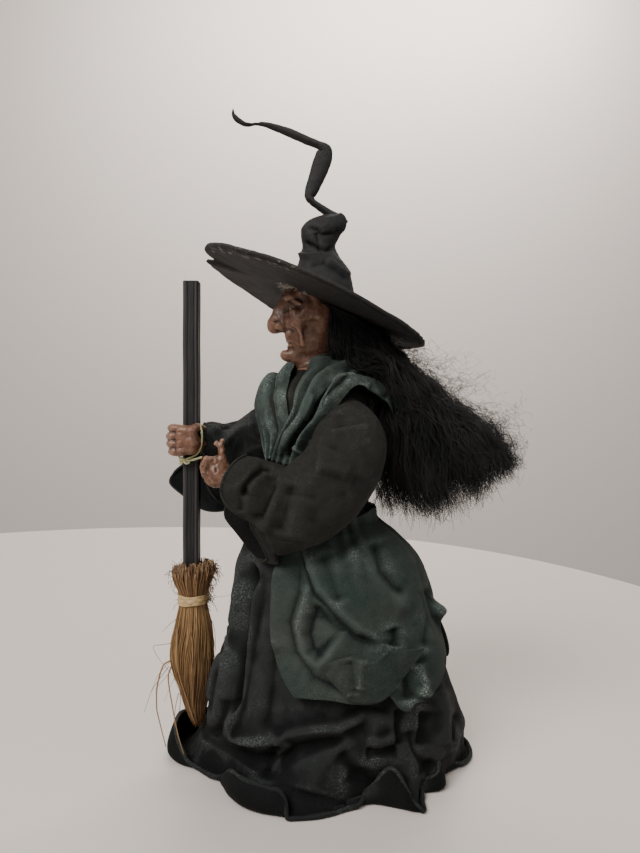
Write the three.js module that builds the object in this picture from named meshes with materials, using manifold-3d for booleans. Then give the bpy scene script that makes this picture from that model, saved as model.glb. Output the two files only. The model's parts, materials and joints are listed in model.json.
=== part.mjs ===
// A table-top witch figure, about 400 mm tall, whose head turns slowly from side to side.
//
// The costume is stiffened cloth over a foam torso on a tubular spine. The spine stands on a
// gearbox in the skirt, and a 3 mm shaft inside the spine carries the head, wig and hat. Three
// cells in the base feed a small reversing motor. The besom stands on the skirt's turned-out hem
// and slides up through the right fist.
//
// Millimetres, +Z up. The origin is the middle of the base plate's flat underside, and the neck
// shaft's axis is the Z axis. The head faces -X. The chest faces -X turned 45 degrees towards -Y.
import * as THREE from "three";
import { mergeVertices } from "three/addons/utils/BufferGeometryUtils.js";
import Module from "manifold-3d";

const wasm = await Module();
wasm.setup();

// ---------------------------------------------------------------- driving dimensions

const GAP = 0.3; // between pieces that touch
const SNUG = 0.4; // how much a piece is grown before its neighbour is cut by it

const BASE_R = 64;
const BASE_T = 4;
const CELL_R = 7.1; // an AA cell
const CELL_L = 50;
const CELL_PITCH = 15;
const CELL_Z = BASE_T + 1 + CELL_R;
const BATTERY_BAY_Y = 27; // the battery bay's middle
const DOOR_W = 55;
const DOOR_T = 2.4;
const DOOR_Z = 0.6;
const DOOR_HINGE_Y = 4;
const DOOR_HINGE_Z = DOOR_Z + DOOR_T / 2;
const DOOR_END_Y = 50.5;
const SWITCH_AT = [-40, -24];
const SWITCH_TRAVEL = 3;

const GEAR_MODULE = 1;
const GEAR_T = 4;
const PINION_TEETH = 10;
const REDUCTION_TEETH = 26;
const SECTOR_TEETH = 36;
const STAGE_1 = (GEAR_MODULE * (PINION_TEETH + REDUCTION_TEETH)) / 2; // motor to reduction gear
const STAGE_2 = (GEAR_MODULE * (PINION_TEETH + SECTOR_TEETH)) / 2; // reduction gear to neck shaft
const CASE_FLOOR_Z = 33;
const CASE_T = 2.4;
const CASE_SPAN = [-31, 23.5, -41, 11]; // the gearbox's two sides in X, then in Y
const LOWER_GEAR_Z = CASE_FLOOR_Z + CASE_T + 1.2;
const UPPER_GEAR_Z = LOWER_GEAR_Z + GEAR_T + 1;
const COVER_Z = UPPER_GEAR_Z + GEAR_T + 1.4;
const GEAR_AT = [0, -STAGE_2];
const MOTOR_AT = [-STAGE_1, -STAGE_2];

const SHAFT_R = 1.5;
const SPINE_R = 4;
const SPINE_BORE_R = 2.4;
const SPINE_TOP_Z = 231;
const SHAFT_TOP_Z = 262;

const CHEST_ANGLE = rad(180 + 45); // the way the chest faces, about Z from +X
const WAIST_Z = 148;
const SHOULDER_Z = 222;
const NECK_Z = 236;

const HEAD_AT = vec(-3, 0, 270);
const BRIM_TILT = rad(23);
const BRIM_R = 74;
const BRIM_T = 2.6;
const BRIM_AT = vec(-3, 0, 281);

const STICK_AT = [-79, -5];
const STICK_HALF = 4.7;
const STICK_CHAMFER = 1.5;
const STICK_TOP_Z = 291;
const STICK_FOOT_Z = 100;
const BUNDLE_TOP_Z = 117;
const FIST_Z = 195;

// ---------------------------------------------------------------- small helpers

function rad(degrees) {
  return (degrees * Math.PI) / 180;
}

function vec(x, y, z) {
  return new THREE.Vector3(x, y, z);
}

// A function of one number that joins [position, value] pairs with straight lines.
function joined(pairs) {
  return (at) => {
    if (at <= pairs[0][0]) return pairs[0][1];
    for (let i = 1; i < pairs.length; i += 1) {
      const [a, from] = pairs[i - 1];
      const [b, to] = pairs[i];
      if (at <= b) return from + ((to - from) * (at - a)) / (b - a);
    }
    return pairs[pairs.length - 1][1];
  };
}

// A closed geometry as a manifold-3d solid, turned to face outwards.
function solid(geometry) {
  const bare = geometry.clone();
  bare.deleteAttribute("normal");
  bare.deleteAttribute("uv");
  const merged = mergeVertices(bare, 1e-3);
  const vertProperties = merged.attributes.position.array;
  const triVerts = new Uint32Array(merged.index.array);
  const made = new wasm.Manifold(new wasm.Mesh({ numProp: 3, vertProperties, triVerts }));
  if (made.volume() > 0) return made;
  for (let i = 0; i < triVerts.length; i += 3) triVerts.subarray(i + 1, i + 3).reverse();
  return new wasm.Manifold(new wasm.Mesh({ numProp: 3, vertProperties, triVerts }));
}

// A manifold-3d solid as a BufferGeometry.
function geometryOf(made) {
  const { numVert, numProp, vertProperties, triVerts } = made.getMesh();
  const positions = new Float32Array(numVert * 3);
  for (let i = 0; i < numVert; i += 1) {
    positions.set(vertProperties.subarray(i * numProp, i * numProp + 3), i * 3);
  }
  const geometry = new THREE.BufferGeometry();
  geometry.setAttribute("position", new THREE.BufferAttribute(positions, 3));
  geometry.setIndex(new THREE.BufferAttribute(triVerts, 1));
  geometry.computeVertexNormals();
  return geometry;
}

// The largest body of a solid, which drops the slivers that a cut can leave.
function largest(made) {
  return made.decompose().reduce((best, body) => (body.volume() > best.volume() ? body : best));
}

function cut(made, ...tools) {
  return largest(tools.reduce((left, tool) => left.subtract(tool), made));
}

function join(first, ...others) {
  return others.reduce((sum, other) => sum.add(other), first);
}

function box(x0, x1, y0, y1, z0, z1) {
  const geometry = new THREE.BoxGeometry(x1 - x0, y1 - y0, z1 - z0);
  return solid(geometry.translate((x0 + x1) / 2, (y0 + y1) / 2, (z0 + z1) / 2));
}

// A round bar standing on Z.
function post(x, y, radius, z0, z1, sides = 20) {
  const geometry = new THREE.CylinderGeometry(radius, radius, z1 - z0, sides);
  return solid(geometry.rotateX(Math.PI / 2).translate(x, y, (z0 + z1) / 2));
}

// A turned piece: a closed profile of [radius, z] points round a vertical axis.
function turned(x, y, profile, sides = 24) {
  const points = profile.map(([r, z]) => new THREE.Vector2(r, z));
  const geometry = new THREE.LatheGeometry([...points, points[0]], sides);
  return solid(geometry.rotateX(Math.PI / 2).translate(x, y, 0));
}

function ringProfile(inner, outer, z0, z1) {
  return [[inner, z0], [outer, z0], [outer, z1], [inner, z1]];
}

function ball(at, rx, ry, rz, sides = 16, rows = 10) {
  const geometry = new THREE.SphereGeometry(1, sides, rows).rotateX(Math.PI / 2);
  return solid(geometry.scale(rx, ry, rz).translate(at.x, at.y, at.z));
}

// A solid skinned over cross-sections. Each section is { at, u, v }: its middle and its half-axes.
function lofted(sections, around = 16) {
  const last = sections.length - 1;
  const geometry = new THREE.CylinderGeometry(1, 1, 1, around, last);
  const position = geometry.attributes.position;
  for (let i = 0; i < position.count; i += 1) {
    const { at, u, v } = sections[Math.round((0.5 - position.getY(i)) * last)];
    const p = at.clone().addScaledVector(u, position.getX(i)).addScaledVector(v, position.getZ(i));
    position.setXYZ(i, p.x, p.y, p.z);
  }
  return solid(geometry);
}

// A limb along stations [x, y, z, half width, half depth]: half width lies across the reference
// direction, and half depth along it.
function limb(stations, reference, grow = 0, around = 12) {
  const middles = stations.map(([x, y, z]) => vec(x, y, z));
  const sections = stations.map(([, , , width, depth], i) => {
    const before = middles[Math.max(i - 1, 0)];
    const after = middles[Math.min(i + 1, middles.length - 1)];
    const along = after.clone().sub(before).normalize();
    const side = along.clone().cross(reference).normalize();
    const up = side.clone().cross(along).normalize();
    return {
      at: middles[i].clone(),
      u: side.multiplyScalar(width + grow),
      v: up.multiplyScalar(depth + grow),
    };
  });
  sections[0].at.addScaledVector(endwards(middles[0], middles[1]), grow);
  sections[sections.length - 1].at.addScaledVector(endwards(middles.at(-1), middles.at(-2)), grow);
  return lofted(sections, around);
}

function endwards(end, inner) {
  return end.clone().sub(inner).normalize();
}

// A bent wire or cord of round section through a list of points.
function wire(points, radius, steps, sides = 3) {
  const path = new THREE.CatmullRomCurve3(points.map(([x, y, z]) => vec(x, y, z)));
  const section = new THREE.Shape();
  section.absarc(0, 0, radius, 0, 2 * Math.PI);
  const options = { steps, extrudePath: path, curveSegments: sides };
  return solid(new THREE.ExtrudeGeometry(section, options));
}

// A solid of revolution about Z whose radius and middle change with height and angle.
function column(radiusAt, middleAt, heights, around, grow = 0) {
  const last = heights.length - 1;
  const geometry = new THREE.CylinderGeometry(1, 1, 1, around, last);
  const position = geometry.attributes.position;
  for (let i = 0; i < position.count; i += 1) {
    const row = Math.round((position.getY(i) + 0.5) * last);
    const reach = Math.hypot(position.getX(i), position.getZ(i));
    const angle = Math.atan2(position.getX(i), position.getZ(i));
    const z = heights[row];
    const [cx, cy] = middleAt(z);
    const r = reach * (radiusAt(angle, z) + grow);
    position.setXYZ(i, cx + r * Math.cos(angle), cy + r * Math.sin(angle), z);
  }
  return solid(geometry);
}

// ---------------------------------------------------------------- nodes

const figure = new THREE.Group();

const FINISHES = {
  black_cloth: { color: 0x1b1c1b, roughness: 0.85 },
  green_cloth: { color: 0x2f4038, roughness: 0.8 },
  brown_lining: { color: 0x2b2620, roughness: 0.85 },
  skin: { color: 0x7d4a30, roughness: 0.4 },
  hair: { color: 0x0c0b0b, roughness: 0.6 },
  stick: { color: 0x1d1a19, roughness: 0.6 },
  bristle: { color: 0xa9793f, roughness: 0.8 },
  raffia: { color: 0xc9a463, roughness: 0.7 },
  tie: { color: 0xb5a964, roughness: 0.6 },
  plastic: { color: 0x202021, roughness: 0.55 },
  gear_plastic: { color: 0xe6e2d6, roughness: 0.45 },
  foam: { color: 0xd9d3c0, roughness: 0.95 },
  steel: { color: 0xa8a9ab, roughness: 0.35, metalness: 1 },
  aluminium: { color: 0xb9babc, roughness: 0.4, metalness: 1 },
  brass: { color: 0xb8923f, roughness: 0.35, metalness: 1 },
  board: { color: 0x1f5b34, roughness: 0.5 },
  cell_jacket: { color: 0x3b5a44, roughness: 0.4 },
  red_lead: { color: 0xa32018, roughness: 0.5 },
  black_lead: { color: 0x171717, roughness: 0.5 },
};

function add(name, made, finish) {
  const mesh = new THREE.Mesh(geometryOf(made), new THREE.MeshStandardMaterial(FINISHES[finish]));
  mesh.name = name;
  figure.add(mesh);
}

// ---------------------------------------------------------------- base and battery bay

function basePlate() {
  const plate = turned(0, 0, [[0, 0], [BASE_R, 0], [BASE_R, BASE_T], [0, BASE_T]], 40);
  const [sx, sy] = SWITCH_AT;
  const doorway = box(-28, 28, DOOR_HINGE_Y - 1.8, DOOR_END_Y + 0.5, -1, BASE_T + 1);
  const pinBore = solid(
    new THREE.CylinderGeometry(0.9, 0.9, 62, 10).rotateZ(Math.PI / 2)
      .translate(0, DOOR_HINGE_Y, DOOR_HINGE_Z),
  );
  const switchSlot = box(sx - 5, sx + 5, sy - 3, sy + 3, -1, BASE_T + 1);
  const screwHoles = SCREWS.map(([x, y]) => post(x, y, 1.9, -1, BASE_T + 1, 10));
  const screwSinks = SCREWS.map(([x, y]) => post(x, y, 3.3, -1, 2, 10));
  return cut(plate, doorway, pinBore, switchSlot, ...screwHoles, ...screwSinks);
}

const SCREWS = [[-27, -8], [-27, -37], [20, -37], [20, -8]];

function screw(x, y) {
  const head = turned(x, y, [[0, 0.4], [2.9, 0.4], [2.9, 1.7], [0, 1.7]], 16);
  const slot = box(x - 2.2, x + 2.2, y - 0.4, y + 0.4, 0, 0.9);
  return join(cut(head, slot), post(x, y, 1.5, 1.6, 12, 12));
}

function batteryBox() {
  const y0 = BATTERY_BAY_Y - 1.5 * CELL_PITCH - 1;
  const y1 = BATTERY_BAY_Y + 1.5 * CELL_PITCH + 1;
  const top = CELL_Z + CELL_R + 1;
  const shell = box(-29, 29, y0 - 1.6, y1 + 1.6, BASE_T + GAP, top + 1.6);
  return cut(shell, box(-27.4, 27.4, y0, y1, 0, top));
}

function cell(index) {
  const y = BATTERY_BAY_Y + (index - 1) * CELL_PITCH;
  const turn = index % 2 ? 1 : -1; // neighbouring cells lie opposite ways
  const half = CELL_L / 2;
  const profile = [[0, -half], [CELL_R, -half], [CELL_R, half - 1], [2.7, half - 1], [2.7, half], [0, half]];
  const points = profile.map(([r, at]) => new THREE.Vector2(r, at));
  const geometry = new THREE.LatheGeometry([...points, points[0]], 24).rotateZ((-turn * Math.PI) / 2);
  return solid(geometry.translate(0, y, CELL_Z));
}

function contactPlate(side) {
  const x = side * 26.4;
  const y0 = BATTERY_BAY_Y - 1.5 * CELL_PITCH + 1;
  const y1 = BATTERY_BAY_Y + 1.5 * CELL_PITCH - 1;
  return box(x - 0.4, x + 0.4, y0, y1, BASE_T + 2, CELL_Z + CELL_R - 1);
}

function batteryDoor() {
  const half = DOOR_W / 2;
  const leaf = box(-half, half, DOOR_HINGE_Y, DOOR_END_Y, DOOR_Z, DOOR_Z + DOOR_T);
  const knuckle = new THREE.CylinderGeometry(DOOR_T / 2, DOOR_T / 2, DOOR_W, 16).rotateZ(Math.PI / 2);
  const bore = new THREE.CylinderGeometry(0.85, 0.85, DOOR_W + 4, 12).rotateZ(Math.PI / 2);
  const thumbNotch = box(-7, 7, DOOR_END_Y - 4, DOOR_END_Y - 1.5, 0, DOOR_Z + 0.8);
  const made = join(leaf, solid(knuckle.translate(0, DOOR_HINGE_Y, DOOR_HINGE_Z)));
  return cut(made, solid(bore.translate(0, DOOR_HINGE_Y, DOOR_HINGE_Z)), thumbNotch);
}

function doorHingePin() {
  const pin = new THREE.CylinderGeometry(0.6, 0.6, 60, 12).rotateZ(Math.PI / 2);
  return solid(pin.translate(0, DOOR_HINGE_Y, DOOR_HINGE_Z));
}

function switchBody() {
  const [x, y] = SWITCH_AT;
  const shell = box(x - 8, x + 8, y - 4.5, y + 4.5, BASE_T + GAP, BASE_T + 8);
  return cut(shell, box(x - 5, x + 5, y - 3, y + 3, 0, BASE_T + 4));
}

function switchSlider() {
  const [x, y] = SWITCH_AT;
  const start = x - SWITCH_TRAVEL / 2;
  const knob = box(start - 2, start + 2, y - 2.4, y + 2.4, 0.6, BASE_T + 1);
  return join(knob, box(start - 3, start + 3, y - 2.4, y + 2.4, BASE_T + 0.9, BASE_T + 3.4));
}

// ---------------------------------------------------------------- motor and gear train

// The outline of a spur gear. Each flank is the chord of its involute, and the teeth are thinned for
// backlash. The first `count` teeth are kept, centred on angle `phase`.
function gearShape(teeth, phase, bore, count = teeth) {
  const pitchR = (GEAR_MODULE * teeth) / 2;
  const baseR = pitchR * Math.cos(rad(20));
  const tipR = pitchR + 0.85 * GEAR_MODULE;
  const rootR = pitchR - 1.15 * GEAR_MODULE;
  const halfTooth = Math.PI / (2 * teeth) - 0.09 / pitchR;
  const involute = (r) => {
    const roll = Math.sqrt(Math.max((r / baseR) ** 2 - 1, 0));
    return roll - Math.atan(roll);
  };
  const flankR = [rootR, tipR];
  const shape = new THREE.Shape();
  const points = [];
  for (let i = 0; i < teeth; i += 1) {
    const middle = phase + ((i - (count - 1) / 2) * 2 * Math.PI) / teeth;
    if (i >= count) {
      points.push([rootR, middle]);
      continue;
    }
    const half = flankR.map((r) => halfTooth + involute(pitchR) - involute(r));
    flankR.forEach((r, k) => points.push([r, middle - half[k]]));
    for (let k = flankR.length - 1; k >= 0; k -= 1) points.push([flankR[k], middle + half[k]]);
  }
  points.forEach(([r, angle], i) => {
    const [x, y] = [r * Math.cos(angle), r * Math.sin(angle)];
    if (i) shape.lineTo(x, y);
    else shape.moveTo(x, y);
  });
  const hole = new THREE.Path();
  hole.absarc(0, 0, bore, 0, 2 * Math.PI, true);
  shape.holes.push(hole);
  return shape;
}

function gear(at, z, teeth, phase, bore, count) {
  const options = { depth: GEAR_T, bevelEnabled: false, curveSegments: 12 };
  const geometry = new THREE.ExtrudeGeometry(gearShape(teeth, phase, bore, count), options);
  return solid(geometry.translate(at[0], at[1], z));
}

const SECTOR_COUNT = 11; // teeth that the sector keeps, for its sweep each way
const HALF_PITCH = Math.PI / PINION_TEETH;

function motorPinion() {
  const wheel = gear(MOTOR_AT, LOWER_GEAR_Z, PINION_TEETH, HALF_PITCH, 0.5);
  return join(wheel, post(...MOTOR_AT, 1, CASE_FLOOR_Z - 1.5, LOWER_GEAR_Z + GEAR_T, 16));
}

function reductionGear() {
  const large = gear(GEAR_AT, LOWER_GEAR_Z, REDUCTION_TEETH, Math.PI, 1.3);
  const small = gear(GEAR_AT, UPPER_GEAR_Z, PINION_TEETH, Math.PI / 2, 1.3);
  const hub = turned(...GEAR_AT, ringProfile(1.3, 2.6, LOWER_GEAR_Z + GEAR_T - 0.1, UPPER_GEAR_Z + 0.1), 24);
  return join(large, small, hub);
}

function sectorGear() {
  const at = [0, 0];
  const wheel = gear(at, UPPER_GEAR_Z, SECTOR_TEETH, -Math.PI / 2, SHAFT_R + GAP, SECTOR_COUNT);
  const span = SECTOR_COUNT / SECTOR_TEETH;
  const half = Math.PI * span + 0.06;
  const wedge = new THREE.Shape();
  const far = 30;
  wedge.moveTo(0, 0);
  wedge.absarc(0, 0, far, -Math.PI / 2 - half, -Math.PI / 2 + half);
  wedge.lineTo(0, 0);
  const geometry = new THREE.ExtrudeGeometry(wedge, { depth: GEAR_T + 2, bevelEnabled: false });
  const kept = solid(geometry.translate(0, 0, UPPER_GEAR_Z - 1));
  const hub = turned(0, 0, ringProfile(SHAFT_R + GAP, 4.2, UPPER_GEAR_Z, UPPER_GEAR_Z + GEAR_T), 24);
  return join(wheel.intersect(kept), hub);
}

function motor() {
  const [x, y] = MOTOR_AT;
  const top = CASE_FLOOR_Z - GAP;
  const can = post(x, y, 10, top - 25, top, 32).intersect(box(x - 10, x + 10, y - 7.5, y + 7.5, 0, 60));
  return cut(can, post(x, y, 1.6, top - 4, top + 1, 16));
}

// An open-topped tray that stands on four legs, with the motor hung beneath its floor.
function gearboxCase() {
  const [x0, x1, y0, y1] = CASE_SPAN;
  const tray = box(x0, x1, y0, y1, CASE_FLOOR_Z, COVER_Z - GAP);
  const inside = box(x0 + 2, x1 - 2, y0 + 2, y1 - 2, CASE_FLOOR_Z + CASE_T, COVER_Z + 1);
  const legs = SCREWS.map(([x, y]) => post(x, y, 3.5, BASE_T + GAP, CASE_FLOOR_Z + 1, 16));
  const bores = SCREWS.map(([x, y]) => post(x, y, 1.8, 0, 13, 12));
  const shaftSeat = post(0, 0, 3.3, CASE_FLOOR_Z - 1, COVER_Z, 24);
  const pinSeat = post(...GEAR_AT, 1.1, CASE_FLOOR_Z - 1, COVER_Z, 16);
  const motorHole = post(...MOTOR_AT, 1.5, CASE_FLOOR_Z - 1, COVER_Z, 16);
  return cut(join(cut(tray, inside), ...legs), ...bores, shaftSeat, pinSeat, motorHole);
}

function gearboxCover() {
  const plate = box(...CASE_SPAN, COVER_Z, COVER_Z + CASE_T);
  const socket = post(0, 0, 7, COVER_Z + CASE_T - 0.1, COVER_Z + 14, 32);
  const spineSeat = post(0, 0, SPINE_R + GAP, COVER_Z + CASE_T + 1, COVER_Z + 20, 32);
  const shaftHole = post(0, 0, SPINE_BORE_R, COVER_Z - 1, COVER_Z + 20, 24);
  const pinSeat = post(...GEAR_AT, 1.1, COVER_Z - 1, COVER_Z + 1.4, 16);
  return cut(join(plate, socket), spineSeat, shaftHole, pinSeat);
}

// Each lead is a list of points. The supply runs from the cells by the switch to the control board,
// and the board feeds the motor from beneath.
const LEADS = {
  battery_lead_red: [[-29.6, 14, 12], [-36, 10, 9.5], [-42, -4, 7.5], [-42, -19.2, 8]],
  switch_lead: [
    [-31.5, -22, 6], [-24, -20.5, 5.2], [0, -18, 5.2], [20, -16.2, 5.3], [28, -12, 6.2], [35, -9, 7.2],
  ],
  battery_lead_black: [[29.6, 42, 12], [36, 36, 9.5], [41, 22, 7.6], [40, 9, 7.2]],
  motor_lead_red: [[37, -12.5, 7.2], [29, -20, 5.8], [12, -22.5, 5.2], [-5, -23, 5.4], [-10, -23, 6.5]],
  motor_lead_black: [[41, -14, 7.2], [32, -25, 5.8], [12, -28, 5.2], [-7, -28, 5.4], [-12, -27, 6.5]],
};

const BOARD = [31, 49, -16, 12]; // the control board's two sides in X, then in Y

function controlBoard() {
  const plate = box(...BOARD, BASE_T + GAP, BASE_T + 1.9);
  return join(plate, box(43, 48, -6, 6, BASE_T + 1.8, BASE_T + 4), box(34, 40, -3, 3, BASE_T + 1.8, BASE_T + 3.6));
}

function gearPin() {
  return post(...GEAR_AT, 0.8, CASE_FLOOR_Z, COVER_Z + 1, 16);
}

// ---------------------------------------------------------------- spine, torso and arms

function chestMiddle(z) {
  const lean = joined([[WAIST_Z - 20, 2], [WAIST_Z, 1], [SHOULDER_Z, -3], [NECK_Z, -1]]);
  return [lean(z), 0];
}

// The radius of the body under its clothes, an oval whose wide way is across the chest.
function torsoRadius(angle, z) {
  const deep = joined([[128, 27], [WAIST_Z, 22], [190, 23], [SHOULDER_Z, 18], [NECK_Z, 12]])(z);
  const wide = joined([[128, 31], [WAIST_Z, 26], [190, 32], [SHOULDER_Z, 34], [NECK_Z, 14]])(z);
  const turn = angle - CHEST_ANGLE;
  return (deep * wide) / Math.hypot(wide * Math.cos(turn), deep * Math.sin(turn));
}

const TORSO_HEIGHTS = [128, WAIST_Z, 168, 190, 208, SHOULDER_Z, 230, NECK_Z];
const BODICE_T = 2.6;

function torsoOutline(grow, z0 = TORSO_HEIGHTS[0], z1 = NECK_Z) {
  const heights = TORSO_HEIGHTS.map((z) => Math.min(Math.max(z, z0), z1));
  const ends = [z0 - 0.001, ...heights.filter((z) => z > z0 && z < z1), z1 + 0.001];
  return column(torsoRadius, chestMiddle, ends, 20, grow);
}

function shoulderBlock(grow = 0) {
  const across = vec(-Math.sin(CHEST_ANGLE), Math.cos(CHEST_ANGLE), 0);
  const along = vec(Math.cos(CHEST_ANGLE), Math.sin(CHEST_ANGLE), 0);
  const section = (z, width, depth) => ({
    at: vec(...chestMiddle(z), z),
    u: across.clone().multiplyScalar(width + grow),
    v: along.clone().multiplyScalar(depth + grow),
  });
  const low = SHOULDER_Z - 9 - grow;
  const high = SHOULDER_Z + 5 + grow;
  return lofted([section(high, 22, 9), section(low, 25, 11)], 14);
}

const LEFT_ARM_WIRE = [
  [8, -14, 219], [16, -27, 217], [25, -43, 196], [22, -52, 172], [5, -52, 163], [-22, -44, 166],
  [-45, -33, 172], [-56, -25, 175],
];
const RIGHT_ARM_WIRE = [
  [-11, 12, 219], [-22, 26, 216], [-40, 35, 204], [-54, 27, 197], [-64, 13, 195], [-70.5, 5.5, 195],
];
const WIRE_R = 1.2;

const armWire = (points, grow = 0) => wire(points, WIRE_R + grow, 12);

// ---------------------------------------------------------------- costume

const SLEEVE_REFERENCE = vec(0, -1, 0.25).normalize();
const LEFT_SLEEVE = [
  [12, -26, 221, 13, 13], [22, -38, 206, 18, 15], [24, -46, 186, 22, 16], [19, -51, 170, 24, 16],
  [4, -53, 160, 24, 16], [-16, -47, 159, 23, 15], [-34, -39, 160, 22, 13], [-50, -31, 163, 19, 11],
];
const RIGHT_SLEEVE = [
  [-14, 22, 220, 12, 12], [-32, 34, 212, 14, 14], [-46, 35, 202, 14, 15], [-58, 26, 193, 13, 15],
  [-67, 16, 188, 10, 13],
];

function leftSleeve(grow = 0) {
  const drape = ball(vec(-36, -39, 141), 13 + grow, 8 + grow, 12 + grow, 10, 6);
  return join(limb(LEFT_SLEEVE, SLEEVE_REFERENCE, grow), drape);
}

function rightSleeve(grow = 0) {
  const bell = ball(vec(-72, 18, 166), 19 + grow, 9 + grow, 15 + grow, 10, 6);
  return join(limb(RIGHT_SLEEVE, vec(0, 0, 1), grow, 12), bell);
}

// The shawl lies over the shoulders. Its lower edge falls to the waist at the front.
function shawlOutline(grow = 0) {
  const rows = [0, 0.25, 0.5, 0.75, 1];
  const radius = (angle, row) => {
    const side = Math.abs(Math.sin(angle - CHEST_ANGLE));
    const swell = joined([[0, 30], [0.25, 31], [0.5, 30], [0.75, 26], [1, 20]])(row);
    return swell + side * side * joined([[0, 15], [0.5, 13], [1, 1]])(row);
  };
  const geometry = new THREE.CylinderGeometry(1, 1, 1, 22, rows.length - 1);
  const position = geometry.attributes.position;
  for (let i = 0; i < position.count; i += 1) {
    const row = position.getY(i) + 0.5;
    const reach = Math.hypot(position.getX(i), position.getZ(i));
    const angle = Math.atan2(position.getX(i), position.getZ(i));
    const front = Math.max(Math.cos(angle - CHEST_ANGLE), -0.2) * reach;
    const low = 209 - 34 * front ** 3 - grow;
    const high = 241 + grow;
    const z = low + (high - low) * row;
    const [cx, cy] = chestMiddle(z);
    const r = reach * (radius(angle, row) + grow);
    position.setXYZ(i, cx + r * Math.cos(angle), cy + r * Math.sin(angle), z);
  }
  return solid(geometry);
}

// The skirt's outer radius and middle. It spreads to a turned-out hem on the table.
const SKIRT_HEIGHTS = [0.4, 6, 13, 32, 62, 104, 146];
const SKIRT_T = 2.4;
const DEPTH_SHARE = 0.84; // of the skirt's width

function skirtMiddle(z) {
  return [joined([[0, 0], [9, 1], [13, 9], [32, 9], [62, 8], [120, 5], [146, 2]])(z), 0];
}

function skirtRadius(angle, z) {
  const profile = [[0, 90], [6, 93], [13, 80], [32, 74], [62, 65], [93, 57], [120, 49], [146, 38]];
  const oval = 1 / Math.hypot(Math.cos(angle), Math.sin(angle) / DEPTH_SHARE);
  const folds = joined([[0, 1.6], [62, 1.8], [146, 0.4]])(z) * Math.cos(8 * angle + z / 30);
  return joined(profile)(z) * oval + folds;
}

function skirtOutline(grow = 0, lift = 0) {
  const heights = SKIRT_HEIGHTS.map((z, i) => (i ? z : z - lift));
  return column(skirtRadius, skirtMiddle, heights, 44, grow);
}

// The overskirt wraps the left hip and the back, from one angle to another about Z.
const APRON_FROM = rad(-128);
const APRON_TO = rad(112);

function apron() {
  const geometry = new THREE.BoxGeometry(1, 1, 1, 24, 5, 1);
  const position = geometry.attributes.position;
  for (let i = 0; i < position.count; i += 1) {
    const turn = position.getX(i) + 0.5;
    const rise = position.getY(i) + 0.5;
    const outside = position.getZ(i) + 0.5;
    const angle = APRON_FROM + (APRON_TO - APRON_FROM) * turn + rad(22) * (1 - rise) * (1 - turn);
    const low = joined([[0, 62], [0.12, 52], [0.35, 50], [0.55, 66], [0.7, 54], [0.85, 66], [1, 92]])(turn);
    const z = low + (146 - low) * rise;
    const bulge = Math.sin(Math.PI * turn) ** 0.6 * Math.sin(Math.PI * (0.15 + 0.75 * rise));
    const r = skirtRadius(angle, z) + 0.9 + outside * (3 + 10 * bulge);
    const [cx, cy] = skirtMiddle(z);
    position.setXYZ(i, cx + r * Math.cos(angle), cy + r * Math.sin(angle), z);
  }
  return solid(geometry);
}

// ---------------------------------------------------------------- hands and broom

// The stick's square section with its corners planed off, swept up Z.
function stickBar(half, chamfer, z0, z1) {
  const shape = new THREE.Shape();
  const flat = half - chamfer;
  const corners = [[1, 1], [-1, 1], [-1, -1], [1, -1]];
  corners.forEach(([sx, sy], i) => {
    const ends = [[sx * half, sy * flat], [sx * flat, sy * half]];
    if (sx * sy < 0) ends.reverse();
    ends.forEach(([x, y], k) => (i || k ? shape.lineTo(x, y) : shape.moveTo(x, y)));
  });
  const geometry = new THREE.ExtrudeGeometry(shape, { depth: z1 - z0, bevelEnabled: false });
  return solid(geometry.translate(...STICK_AT, z0));
}

function rightHand() {
  const fist = ball(vec(...STICK_AT, FIST_Z), 11.5, 10.5, 10.5, 14, 8);
  const wrist = limb([[-76, 0, 195, 6, 6], [-66, 12, 194, 5, 5.5]], vec(0, 0, 1), 0, 8);
  const grip = stickBar(STICK_HALF + 0.5, STICK_CHAMFER, FIST_Z - 20, FIST_Z + 20);
  return cut(join(fist, wrist), grip, armWire(RIGHT_ARM_WIRE, GAP));
}

function leftHand() {
  const palm = ball(vec(-61, -21, 177), 8.5, 5.5, 10, 12, 8);
  const thumb = limb([[-60, -21, 184, 3, 3], [-61.5, -21.5, 194, 2.2, 2.2]], vec(0, 1, 0), 0, 8);
  const wrist = limb([[-58, -23, 175, 5.5, 5], [-49, -30, 173, 5, 5]], vec(0, 0, 1), 0, 8);
  return cut(join(palm, thumb, wrist), armWire(LEFT_ARM_WIRE, GAP));
}

// The bundle of bristles, bound below its top and bent back to the hem at its foot.
const BUNDLE = [
  [-79, BUNDLE_TOP_Z, 10.5], [-79, 108, 9.6], [-79, 98, 8.2], [-79, 88, 9], [-79, 72, 12],
  [-79, 56, 12.2], [-78, 38, 9.6], [-77, 26, 7], [-76.5, 16, 5],
];

function bundleOutline(grow = 0) {
  const sections = BUNDLE.map(([x, z, r]) => ({
    at: vec(x, STICK_AT[1], z),
    u: vec(r + grow, 0, 0),
    v: vec(0, r * 0.9 + grow, 0),
  }));
  sections.at(0).at.z += grow;
  sections.at(-1).at.z -= grow;
  return lofted(sections, 14);
}

function bristleBundle() {
  const seat = stickBar(STICK_HALF + GAP, STICK_CHAMFER, STICK_FOOT_Z - GAP, BUNDLE_TOP_Z + 5);
  return cut(bundleOutline(), seat);
}

function broomBinding() {
  const band = (grow, z0, z1) => {
    const section = (z) => ({ at: vec(STICK_AT[0], STICK_AT[1], z), u: vec(grow, 0, 0), v: vec(0, grow, 0) });
    return lofted([section(z1), section(z0)], 18);
  };
  return cut(band(10.2, 94, 101), bundleOutline(SNUG));
}

// The loop of cord that ties the stick under the right fist.
function handTie() {
  const ring = new THREE.TorusGeometry(7.4, 0.8, 6, 18);
  return solid(ring.translate(...STICK_AT, FIST_Z - 13.5));
}

// ---------------------------------------------------------------- head, wig and hat

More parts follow.
